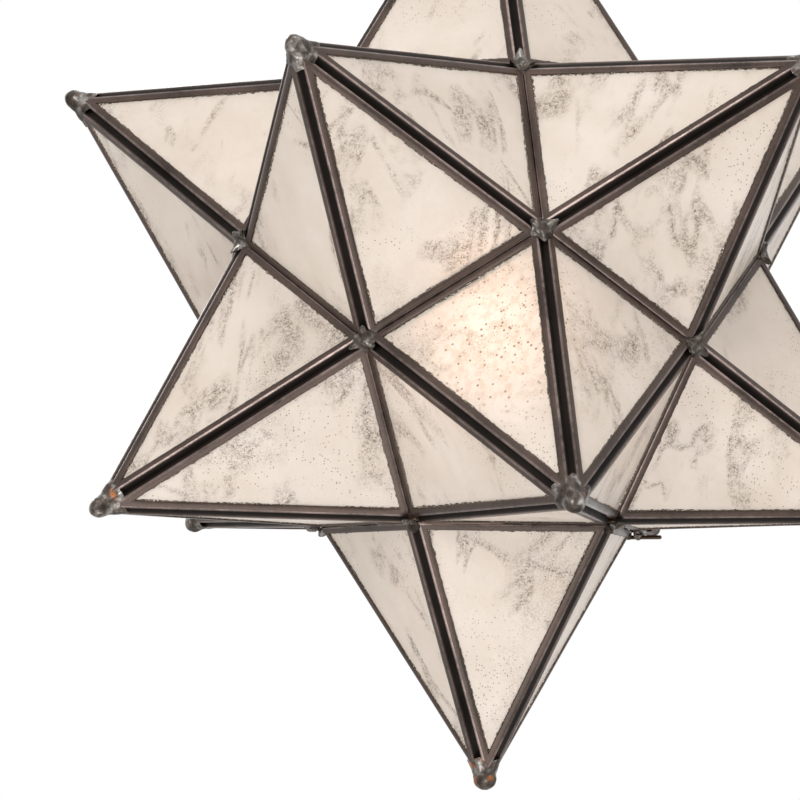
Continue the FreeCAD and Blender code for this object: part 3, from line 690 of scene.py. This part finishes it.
strips = {"star": [], "door": []}
for order, (name, turn) in enumerate(POINTS.items()):
    for side in range(5):
        corners = pane_corners(GRIT_INSET, top_of(name))
        for index, (start, end) in enumerate(zip(corners, corners[1:] + corners[:1])):
            some, loops = grit_strip(start, end, side, order * 20 + side * 4 + index)
            placed_points = [turn @ point + centre_of(name) for point in some]
            strips[body_of_point(name)].append((placed_points, loops))
for body, parts in strips.items():
    dress(mesh_piece(f"{body}_cement", *gather(parts), cement, 60), body, "came_metal")
print("strips of cement:", sum(len(parts) for parts in strips.values()))

# %% [markdown]
# ## Solder seams
# Two neighbouring frames meet on their outer edges along a valley and lean apart
# behind it.  A run of solder fills that wedge, so no light comes through.  It's a
# long three-sided bar whose top rises and falls.  The five valleys of the door's
# rim stay open, or the door couldn't swing.

# %% Seams along the valleys
SEAM_STEPS = 36
SEAM_DEPTH = 4.2 * MM


def valley_edges():
    """The 25 soldered valleys: their two ends and the outward normals on each side."""
    edges = {}
    for name, turn in POINTS.items():
        for side in range(5):
            ends = [turn @ on_pane(across, 0, 0, side) for across in (-EDGE / 2, EDGE / 2)]
            way = Matrix.Rotation(FIFTH * side, 3, "Z") @ Vector((LEAN_OUT, 0, LEAN_UP))
            middle = (ends[0] + ends[1]) / 2
            key = tuple(round(value * 1000) for value in middle)
            normals, names = edges.setdefault(key, (ends, [], []))[1:]
            normals.append(turn.to_3x3() @ way)
            names.append(name)
    return [(ends, normals) for ends, normals, names in edges.values() if "door" not in names]


def seam(ends, normals, seed):
    points = []
    outward = (normals[0] + normals[1]).normalized()
    for step in range(SEAM_STEPS + 1):
        t = 0.035 + 0.93 * step / SEAM_STEPS
        middle = ends[0].lerp(ends[1], t) + CENTRE
        height = noise.noise(Vector((t * 14, seed * 2.3, 0))) * 0.35 * MM - 0.45 * MM
        points.append(middle + outward * height)
        points += [middle - normal * SEAM_DEPTH for normal in normals]
    faces = []
    for low in range(0, SEAM_STEPS * 3, 3):
        for first, second in ((0, 1), (1, 2), (2, 0)):
            faces.append((low + first, low + second, low + 3 + second, low + 3 + first))
    faces += [(0, 2, 1), (len(points) - 3, len(points) - 2, len(points) - 1)]
    return points, faces


seams = [seam(ends, normals, number) for number, (ends, normals) in enumerate(valley_edges())]
print("soldered valleys:", len(seams))

# %% [markdown]
# ## Directions and a ball
# Every lump of solder starts as a ball of small triangles.  A ball of rings crowds
# its points at two poles, and the dents would show it.  An ico sphere spreads them
# evenly, so Blender makes one, its points are kept, and the ball itself is removed.

# %% Helpers for lumps


def direction(azimuth, tilt):
    return Vector((math.cos(azimuth) * math.sin(tilt), math.sin(azimuth) * math.sin(tilt),
                   math.cos(tilt)))


def flat_way(azimuth):
    return Vector((math.cos(azimuth), math.sin(azimuth), 0))


def unit_ball(subdivisions):
    """The points and faces of a ball of radius 1."""
    bpy.ops.mesh.primitive_ico_sphere_add(subdivisions=subdivisions, radius=1)
    made = bpy.context.object
    mesh = made.data
    points = [vertex.co.normalized() for vertex in mesh.vertices]
    faces = [tuple(polygon.vertices) for polygon in mesh.polygons]
    bpy.data.objects.remove(made)
    bpy.data.meshes.remove(mesh)
    return points, faces


BALL = unit_ball(5)
print("a lump has", len(BALL[0]), "points")

# %% [markdown]
# ## Solder on the crossings
# Three ridges climb away from each crossing and three valleys fall away from it.
# Hot solder runs a little way along all six.  So each lump is a low ball that is
# pulled out into six rays, which rise and fall with the cames, and then dented.

# %% Fifteen crossings
RISE = 0.36                 # how steeply a ridge climbs from a crossing
LUMP_RADIUS, LUMP_TALL = 5.0 * MM, 2.6 * MM
RIDGE_RAY, VALLEY_RAY = 0.42, 0.22
RING = [FIFTH * number for number in range(5)]
CROSSINGS = [direction(BACK + step, math.pi - WAIST_TILT) for step in RING]
CROSSINGS += [direction(FRONT + step, WAIST_TILT) for step in RING]
CROSSINGS += [direction(FRONT + step, RIM_TILT) for step in RING]


def crossing_lump(way, seed):
    """Solder on the crossing that lies along way from the star's centre."""
    centre = CENTRE + way * CIRCUMRADIUS
    tips = sorted(POINTS.values(), key=lambda turn: -(turn @ Vector((0, 0, 1))).dot(way))
    first = (tips[0] @ Vector((0, 0, 1))).cross(way).cross(way) * -1
    first.normalize()
    second = way.cross(first)
    points = []
    for ball in BALL[0]:
        around = math.atan2(ball.y, ball.x)
        flat = math.hypot(ball.x, ball.y)
        ray = math.cos(3 * around)
        stretch = 1 + RIDGE_RAY * max(0, ray) ** 3 + VALLEY_RAY * max(0, -ray) ** 3
        sample = ball * 1.6 + Vector((seed * 3.1, seed * 1.7, seed * 5.3))
        swell = 1 + 0.30 * noise.noise(sample) + 0.10 * noise.noise(sample * 2.9)
        swell += 0.035 * noise.noise(sample * 9.0)
        out = LUMP_RADIUS * flat * stretch * swell
        up = LUMP_TALL * ball.z * swell + RISE * ray * out * min(1, flat * 1.2) - 0.2 * MM
        points.append(centre + first * (out * math.cos(around)) + second * (out * math.sin(around))
                      + way * up)
    return points, BALL[1]


lumps = [crossing_lump(way, number) for number, way in enumerate(CROSSINGS)]
dress(mesh_piece("valley_solder_run", *gather(lumps + seams), solder_grey, 50), "star", "solder",
      "valley_solder")
print("crossings:", len(lumps))

# %% [markdown]
# ## Room for the door to swing
# At the rim's five corners, solder of the star and solder of the door come close.  On
# the real lamp the maker opens the door and trims what rubs.  Here two rules do the
# trimming, point by point.  The star's solder stays outside the pentagon of the mouth
# and above the hinge's sweep, and the door's stays inside it and below the rim.

# %% Trimming rules at the rim
RIM_GAP, CLOSE_GAP = 0.7 * MM, 0.3 * MM
HINGE_AZIMUTH = BACK - FIFTH / 2
HINGE_WAY = flat_way(HINGE_AZIMUTH)
HINGE_EDGE = Vector((-HINGE_WAY.y, HINGE_WAY.x, 0))
HALF_CORNER = math.cos(FIFTH / 2)


def walls_at(azimuth):
    """The ways out through the two rim walls that meet at a corner."""
    return [flat_way(azimuth + half) for half in (-FIFTH / 2, FIFTH / 2)]


def along_hinge(point):
    """How far a point lies from the middle of the hinge's edge, along the edge."""
    return abs(point.y * math.cos(HINGE_AZIMUTH) - point.x * math.sin(HINGE_AZIMUTH))


def outside_mouth(point, azimuth):
    """Push a point of the star's solder out of the door's way."""
    limit = (CORNER + RIM_GAP) * HALF_CORNER
    near = max(point.dot(wall) for wall in walls_at(azimuth))
    if near < limit:
        point = point + flat_way(azimuth) * ((limit - near) / HALF_CORNER)
    swept = along_hinge(point) < EDGE / 2 + 1.6 * MM
    point.z = max(point.z, RIM - (0.9 if swept else 4.8) * MM)
    return point


def inside_mouth(point, azimuth):
    """Keep a point of the door's solder within the mouth and below the rim."""
    limit = (CORNER - CLOSE_GAP) * HALF_CORNER
    for wall in walls_at(azimuth):
        point = point - wall * max(0.0, point.dot(wall) - limit)
    over = along_hinge(point) - EDGE / 2 - 0.6 * MM
    if over > 0 and point.dot(HINGE_WAY) > 0:
        point = point + (HINGE_EDGE * -over if point.dot(HINGE_EDGE) > 0 else HINGE_EDGE * over)
    point.z = min(point.z, RIM - DOOR_DROP - 0.1 * MM)
    return point


print("the rim lies at", round(RIM, 4), "m")

# %% [markdown]
# ## Solder at the rim's corners
# Each corner has one lump on the star and one on the door.  Both are balls with
# shallow dents, trimmed by the rules above, so that they look like one lump cut in
# two by the joint.  The two corners at the hinge carry more, because it holds the pin.

# %% Ten lumps at the rim


def dented_lump(centre, wide, tall, seed):
    """A lump of solder with shallow dents."""
    points = []
    for ball in BALL[0]:
        sample = ball * 1.5 + Vector((seed * 2.7, seed * 1.9, seed * 4.1))
        swell = 1 + 0.26 * noise.noise(sample) + 0.09 * noise.noise(sample * 3.0)
        points.append(centre + Vector((ball.x * wide, ball.y * wide, ball.z * tall)) * swell)
    return points, BALL[1]


PIN_CORNERS = (0, 4)
STAR_SEEDS, DOOR_SEEDS = 40, 50
rim_lumps, door_lumps = [], []
for number, step in enumerate(RING):
    azimuth = BACK + step
    holds_pin = number in PIN_CORNERS
    middle = flat_way(azimuth) * (CORNER + RIM_GAP + 1.6 * MM)
    middle.z = RIM - (1.9 if holds_pin else 0.2) * MM
    points, faces = dented_lump(middle, 3.9 * MM, (3.0 if holds_pin else 2.2) * MM,
                                STAR_SEEDS + number)
    rim_lumps.append(([outside_mouth(point, azimuth) for point in points], faces))
    middle = flat_way(azimuth) * (CORNER - CLOSE_GAP - 1.5 * MM)
    middle.z = RIM - DOOR_DROP - 1.6 * MM
    points, faces = dented_lump(middle, 3.2 * MM, 2.6 * MM, DOOR_SEEDS + number)
    door_lumps.append(([inside_mouth(point, azimuth) for point in points], faces))
dress(mesh_piece("rim_solder_run", *gather(rim_lumps), solder_grey, 50), "star", "solder",
      "rim_solder")
print("lumps on the rim:", len(rim_lumps), "and on the door:", len(door_lumps))

# %% [markdown]
# ## Solder on the tips
# Each tip is dipped in solder, which closes the five mitres: a blunt nose that thins
# out over the cames and ends in an uneven edge.  A ball stuck on the tip would leave a
# hard line.  Instead, rings of points go down from the tip.  Each takes the nose's
# radius or the pyramid's, whichever is larger, with a soft change from one to the other.

# %% A nose of solder
NOSE_LONG, NOSE_FIRST = 6.5 * MM, 0.5 * MM
NOSE_WIDE, DOOR_NOSE_WIDE = 5.0 * MM, 5.8 * MM
PROUD = 0.55 * MM
BLEND = 2.4 * MM
CAP_ROWS, CAP_STEPS = 40, 60


def nose_reach(t, around, below, wide):
    """How far out the solder lies: the nose near the tip, the cames further down."""
    part = max(0.0, min(1.0, (NOSE_FIRST + NOSE_LONG - below) / NOSE_LONG))
    nose = wide * math.sqrt(max(0.0, 1 - part ** 2.2))
    lean = (around + FIFTH / 2) % FIFTH - FIFTH / 2
    corner = 1 + (1 / math.cos(lean) - 1) * 0.55
    proud = PROUD * (1 - max(0.0, t - 0.72) * 4.2)
    pane = below * APOTHEM / POINT_HEIGHT * corner * 0.985 + proud
    gap = max(0.0, min(1.0, 0.5 + (pane - nose) / BLEND / 2))
    out = nose + (pane - nose) * gap + BLEND * gap * (1 - gap) * 0.5
    return min(out, nose + 0.6 * MM) if t < 0.12 else out


def tip_cap(turn, centre, seed, wide=NOSE_WIDE):
    """The solder on one point's tip, as rings of points from the tip down."""
    points = []
    for row in range(CAP_ROWS + 1):
        t = row / CAP_ROWS
        for step in range(CAP_STEPS):
            around = 2 * math.pi * step / CAP_STEPS
            sample = Vector((math.cos(around), math.sin(around), seed * 4.7))
            end = (15.8 + 2.8 * noise.noise(sample * 1.4)) * MM
            below = NOSE_FIRST + (end - NOSE_FIRST) * t ** 1.5
            sample.z += below * 160
            dent = 1 + 0.07 * noise.noise(sample * 1.3) + 0.035 * noise.noise(sample * 3.4)
            fade = dent if t < 0.9 else 1 + (dent - 1) * (1 - t) * 10
            reach = nose_reach(t, around, below, wide) * fade if row else 0.0
            local = Vector((reach * math.cos(around), reach * math.sin(around), TIP - below))
            points.append(turn @ local + centre)
    return points, rings(CAP_ROWS + 1, CAP_STEPS, flipped=True)


caps = [tip_cap(turn, CENTRE, number) for number, (name, turn) in enumerate(POINTS.items())
        if name not in ("top_point", "door")]
dress(mesh_piece("tip_solder_run", *gather(caps), tip_solder_metal, 50), "star", "solder",
      "tip_solder")
door_tip = tip_cap(POINTS["door"], centre_of("door"), 31, DOOR_NOSE_WIDE)
dress(mesh_piece("door_solder_run", *gather(door_lumps + [door_tip]), tip_solder_metal, 50),
      "door", "solder", "door_solder")
print("dipped tips:", len(caps) + 1)

# %% [markdown]
# ## Turned shapes
# The bulb, the lampholder and the eye's collar are round, so each is a profile swept
# round the star's axis.  A Screw modifier would sweep one too, but it can't cut
# flats, flutes or a thread.  Here a rule may change the radius at each point, so all
# three come from the same sweep.

# %% Helpers for turned shapes
TURN_STEPS = 96


def turned_mesh(profile, rule=None):
    """Sweep (radius, height) pairs in mm round the axis; the rule may change a radius."""
    points = []
    for radius, height in profile:
        for step in range(TURN_STEPS):
            around = 2 * math.pi * step / TURN_STEPS
            out = (rule(radius, height, around) if rule else radius) * MM
            points.append(Vector((out * math.cos(around), out * math.sin(around), height * MM))
                          + CENTRE)
    return points, rings(len(profile), TURN_STEPS)


def curve(first, last, steps, rule):
    """Points along a curve: the rule gives the pair for a share between first and last."""
    return [rule(first + (last - first) * step / steps) for step in range(steps + 1)]


def fading(height, low, high, run=2):
    """1 between low and high, and down to 0 at both within a short run."""
    return min(1, (height - low) / run, (high - height) / run)


print("steps round a turned shape:", TURN_STEPS)

# %% [markdown]
# ## The bulb's glass
# A frosted globe of 60 mm hangs from its neck.  Half a circle makes the globe, and
# an eased curve draws it in to the neck, as blown glass does.

# %% Bulb glass
GLOBE, GLOBE_MIDDLE = 30, -17       # radius and height, in mm from the star's centre
NECK, NECK_BOTTOM = 12, 34


def globe(turn):
    return GLOBE * math.sin(turn), GLOBE_MIDDLE - GLOBE * math.cos(turn)


def shoulder(share):
    ease = share * share * (3 - 2 * share)
    return (GLOBE + (NECK - GLOBE) * ease,
            GLOBE_MIDDLE + (NECK_BOTTOM - GLOBE_MIDDLE) * share)


glass_profile = curve(0.001, math.pi / 2, 24, globe) + curve(0.03, 1, 30, shoulder)
glass_profile += [(NECK, 36), (NECK, 38.2), (0.01, 38.2)]
dress(mesh_piece("bulb_glass_blown", *turned_mesh(glass_profile), frosted), "bulb",
      "frosted_glass", "bulb_glass")
print("bulb glass: profile of", len(glass_profile), "points")

# %% [markdown]
# ## The bulb's base
# The base is thin metal rolled into a thread, so its crests and roots are round.  A
# thread rises by one pitch a turn.  The rule below adds a wave that depends on the
# height and the angle together, and that is a helix.

# %% Bulb base
THREAD_FROM, THREAD_TO, PITCH, THREAD_DEEP = 40.5, 57, 3.6, 0.45


def rolled_thread(radius, height, around):
    if radius < 12.2 or not THREAD_FROM < height < THREAD_TO:
        return radius
    wave = math.cos(2 * math.pi * (height / PITCH - around / 2 / math.pi))
    return radius + THREAD_DEEP * fading(height, THREAD_FROM, THREAD_TO) * wave


base_profile = [(0.01, 38.3), (12.2, 38.3), (12.5, 38.7)]
base_profile += [(12.5, 39 + 0.3 * step) for step in range(62)]
base_profile += [(12.1, 58.0), (10.5, 58.9), (6.0, 59.5), (5.0, 59.7), (5.0, 61.6), (4.2, 62.2),
                 (0.01, 62.3)]
dress(mesh_piece("bulb_base_rolled", *turned_mesh(base_profile, rolled_thread), base_metal),
      "bulb", "base_metal", "bulb_base")
print("turns of thread:", round((THREAD_TO - THREAD_FROM) / PITCH, 1))

# %% [markdown]
# ## The lampholder
# The body is moulded plastic with flutes to grip it by, and its cap is a dome with a
# hexagon on top for a spanner.  The flutes are a wave round the body.  The hexagon is
# a rule that cuts the round hub to six flats and bevels their corners.

# %% Lampholder body and cap
FLUTES, FLUTE_DEEP, FLUTED_FROM, FLUTED_TO = 24, 0.35, 40, 60
HUB_FLATS, HUB_FROM, HUB_TO = 16, 77.0, 87.1


def fluted(radius, height, around):
    if radius < 18 or not FLUTED_FROM < height < FLUTED_TO:
        return radius
    groove = 0.5 + 0.5 * math.cos(FLUTES * around)
    return radius - FLUTE_DEEP * fading(height, FLUTED_FROM, FLUTED_TO) * groove


def six_flats(flats, bevel_from, bevel_to):
    """A rule that turns a round section into a hexagon whose corners are bevelled."""
    def rule(radius, height, around):
        if not flats / 2 - 0.01 < radius < flats / 2 + 0.2:
            return radius
        turn = (around + math.pi / 6) % (math.pi / 3) - math.pi / 6
        nearest = min(height - bevel_from, bevel_to - height)
        return min(flats / 2 / math.cos(turn), radius + max(0.0, nearest) * 1.7)
    return rule


def dome(share):
    turn = share * math.pi / 2
    return 9.3 + 9.4 * math.cos(turn) ** 0.7, 71 + 7.1 * math.sin(turn)


holder_profile = [(14.2, 64.2), (14.2, 34.6), (14.5, 34.1), (15.0, 34.0), (17.6, 34.0),
                  (18.4, 34.25), (18.7, 35.0), (18.7, 38.5), (18.3, 38.9), (18.3, 39.5)]
holder_profile += [(18.7, 40 + step) for step in range(21)]
holder_profile += [(18.3, 60.6), (18.3, 61.4), (18.7, 62.0), (18.7, 69.0), (18.5, 69.2),
                   (0.01, 69.2), (0.01, 64.2), (14.2, 64.2)]
dress(mesh_piece("lampholder_body_moulded", *turned_mesh(holder_profile, fluted), black_plastic),
      "star", "holder_black", "lampholder_body")

cap_profile = [(4.9, 69.3), (18.5, 69.3), (18.7, 69.5)] + curve(0, 0.97, 14, dome)
cap_profile += [(4.9, 78.1), (8.1, 78.1), (8.1, 78.6), (8.1, 79.2), (8.1, 86), (8.1, 86.6),
                (8.1, 87.1), (7.4, 87.2), (4.9, 87.2), (4.9, 69.3)]
hub_rule = six_flats(HUB_FLATS, HUB_FROM, HUB_TO)
dress(mesh_piece("lampholder_cap_moulded", *turned_mesh(cap_profile, hub_rule), black_plastic),
      "star", "holder_black", "lampholder_cap")
print("lampholder: body of", len(holder_profile), "and cap of", len(cap_profile), "points")

# %% [markdown]
# ## The hanging eye
# The eye is a cast ring on a small six-sided collar, which screws down on the stem.  A
# torus would look too soft.  The powers in the ring's section make it squarer, like a
# casting that has been filed flat on its sides.

# %% Collar and ring
COLLAR_FLATS = 15
RING_RADIUS, RING_WIDE, RING_THICK, SQUARENESS = 10.8, 1.8, 2.5, 0.75
RING_STEPS, RING_ROWS = 96, 28


def squared(value):
    return math.copysign(abs(value) ** SQUARENESS, value)


low, high = CAP_TOP / MM + 0.1, CAP_TOP / MM + 11
collar_profile = [(4.9, low), (7.3, low), (7.55, low + 0.05), (7.55, low + 0.4),
                  (7.55, low + 0.8), (7.55, high - 1.4), (7.55, high - 0.7), (7.55, high - 0.3),
                  (7.2, high - 0.05), (6.0, high + 0.1), (4.6, high + 0.7), (2.2, high + 1.3),
                  (2.0, high + 1.35), (1.9, high + 1.2), (1.9, low + 6.9), (4.9, low + 6.6),
                  (4.9, low)]
collar = turned_mesh(collar_profile, six_flats(COLLAR_FLATS, low, high))
loop_points = []
for step in range(RING_STEPS):
    around = 2 * math.pi * step / RING_STEPS
    for row in range(RING_ROWS):
        turn = 2 * math.pi * row / RING_ROWS
        reach = (RING_RADIUS + RING_WIDE * squared(math.cos(turn))) * MM
        loop_points.append(Vector((reach * math.cos(around),
                                   RING_THICK * squared(math.sin(turn)) * MM,
                                   reach * math.sin(around))))
loop_faces = rings(RING_STEPS, RING_ROWS, closed=True, flipped=True)
dress(mesh_piece("hanging_loop_cast", *gather([collar, (loop_points, loop_faces)]), came_metal),
      "star", "came_metal", "hanging_loop")
print("hanging eye: bore of", 2 * (RING_RADIUS - RING_WIDE), "mm")

# %% [markdown]
# ## Finishes on the solids that keep their shape
# The panes, hinge, tongues, cap, stem, nut, screw shell and contact are right as they
# are.  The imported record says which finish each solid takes, so their material slots
# are filled from it by name.

# %% Finishes by slot
FINISHES = {"cream_glass": cream_glass, "solder": solder_grey, "hinge_brass": dark_brass,
            "came_metal": came_metal, "holder_black": black_plastic, "bright_brass": bright_brass,
            "base_metal": base_metal, "frosted_glass": frosted}
for part in frame["record"]["subparts"]:
    solid = frame["nodes"][part["node"]]
    for slot in solid.material_slots:
        slot.material = FINISHES[part["material_slot"]]

# %% [markdown]
# ## Floor and background
# The star hangs in a plain studio.  The floor is pale and lies far below, so that views
# from underneath still see the star.  The background could be made white with more
# light, but that would bleach the glass.  So the world shines at a modest level and
# only looks white: to the camera, and in what metal mirrors and glass lets through.

# %% Floor and world
FLOOR_Z, FLOOR_HALF = -2.4, 8
SKY_STRENGTH = 0.66
floor = mesh_piece("floor", [(x, y, FLOOR_Z) for x, y in (
    (-FLOOR_HALF, -FLOOR_HALF), (FLOOR_HALF, -FLOOR_HALF), (FLOOR_HALF, FLOOR_HALF),
    (-FLOOR_HALF, FLOOR_HALF))], [(0, 1, 2, 3)], pale_floor)

world = bpy.data.worlds.new("studio")
bpy.context.scene.world = world
world.use_nodes = True
tree = world.node_tree
sky = tree.nodes["Background"]
sky.inputs["Color"].default_value = (1.0, 0.98, 0.96, 1)
sky.inputs["Strength"].default_value = SKY_STRENGTH
white = node(tree, "ShaderNodeBackground")
white.inputs["Color"].default_value = (1, 1, 1, 1)
white.inputs["Strength"].default_value = 1.0
rays = node(tree, "ShaderNodeLightPath").outputs
seen = maths(tree, "MAXIMUM", rays["Is Camera Ray"], rays["Is Glossy Ray"])
seen = maths(tree, "MAXIMUM", seen, rays["Is Transmission Ray"])
mixer = node(tree, "ShaderNodeMixShader")
for place, source in enumerate((seen, sky.outputs[0], white.outputs[0])):
    tree.links.new(source, mixer.inputs[place])
tree.links.new(mixer.outputs[0], tree.nodes["World Output"].inputs["Surface"])
print("floor at", FLOOR_Z, "m; sky strength", SKY_STRENGTH)

# %% [markdown]
# ## Soft boxes
# A photographer lights glass with large soft lamps, because small ones leave hard
# spots.  Five rectangles do the same here: the key from the left, a weaker fill from
# the right, one above, one behind for the edges, and one below so that the panes that
# look down don't go grey.

# %% Lamps


def soft_box(name, place, across, watts):
    light = bpy.data.lights.new(name, "AREA")
    light.shape = "RECTANGLE"
    light.size, light.size_y = across
    light.energy = watts
    made = bpy.data.objects.new(name, light)
    bpy.context.scene.collection.objects.link(made)
    made.location = place
    made.rotation_euler = (CENTRE - Vector(place)).to_track_quat("-Z", "Y").to_euler()


LAMPS = (("key", (-1.5, -1.9, 0.9), (1.0, 1.4), 37), ("fill", (1.9, -1.6, 0.2), (1.2, 1.4), 14),
         ("top", (0.0, -0.2, 1.9), (1.4, 1.4), 17), ("rim", (-0.6, 2.0, 0.6), (1.6, 0.8), 20),
         ("under", (-0.3, -1.0, -1.9), (1.6, 1.2), 18))
for lamp in LAMPS:
    soft_box(*lamp)
bpy.context.scene.view_settings.view_transform = "Standard"
print("lamps:", [lamp[0] for lamp in LAMPS])

# %% [markdown]
# ## Camera
# The photo was taken from far away, a little to one side and just below the star's
# middle, and it crops the top.  A long lens far off keeps the points in their true
# proportion, where a wide one nearby would swell the nearest.  The camera is moved
# left and down in its own plane, so the star sits right of the middle and high up.

# %% Camera
CAMERA_AZIMUTH, CAMERA_ELEVATION = math.radians(-9.97), math.radians(-3.15)
DISTANCE, ASIDE, ABOVE = 23.673 * EDGE, 0.433 * EDGE, 0.478 * EDGE
ROLL = 0.006
LENS, SENSOR = 212.69, 36           # in mm
ca, sa = math.cos(CAMERA_AZIMUTH), math.sin(CAMERA_AZIMUTH)
ce, se = math.cos(CAMERA_ELEVATION), math.sin(CAMERA_ELEVATION)
back = Vector((sa * ce, -ca * ce, se))
right = Vector((ca, sa, 0))
above = back.cross(right)
spun_right = right * math.cos(ROLL) + above * math.sin(ROLL)
spun_above = back.cross(spun_right)

camera_data = bpy.data.cameras.new("camera")
camera_data.lens = LENS
camera_data.sensor_width = SENSOR
camera = bpy.data.objects.new("camera", camera_data)
bpy.context.scene.collection.objects.link(camera)
camera.matrix_world = Matrix((
    (spun_right.x, spun_above.x, back.x, 0), (spun_right.y, spun_above.y, back.y, 0),
    (spun_right.z, spun_above.z, back.z, 0), (0, 0, 0, 1)))
camera.matrix_world.translation = CENTRE + back * DISTANCE - right * ASIDE - above * ABOVE
bpy.context.scene.camera = camera
print("camera at", [round(value, 3) for value in camera.matrix_world.translation])
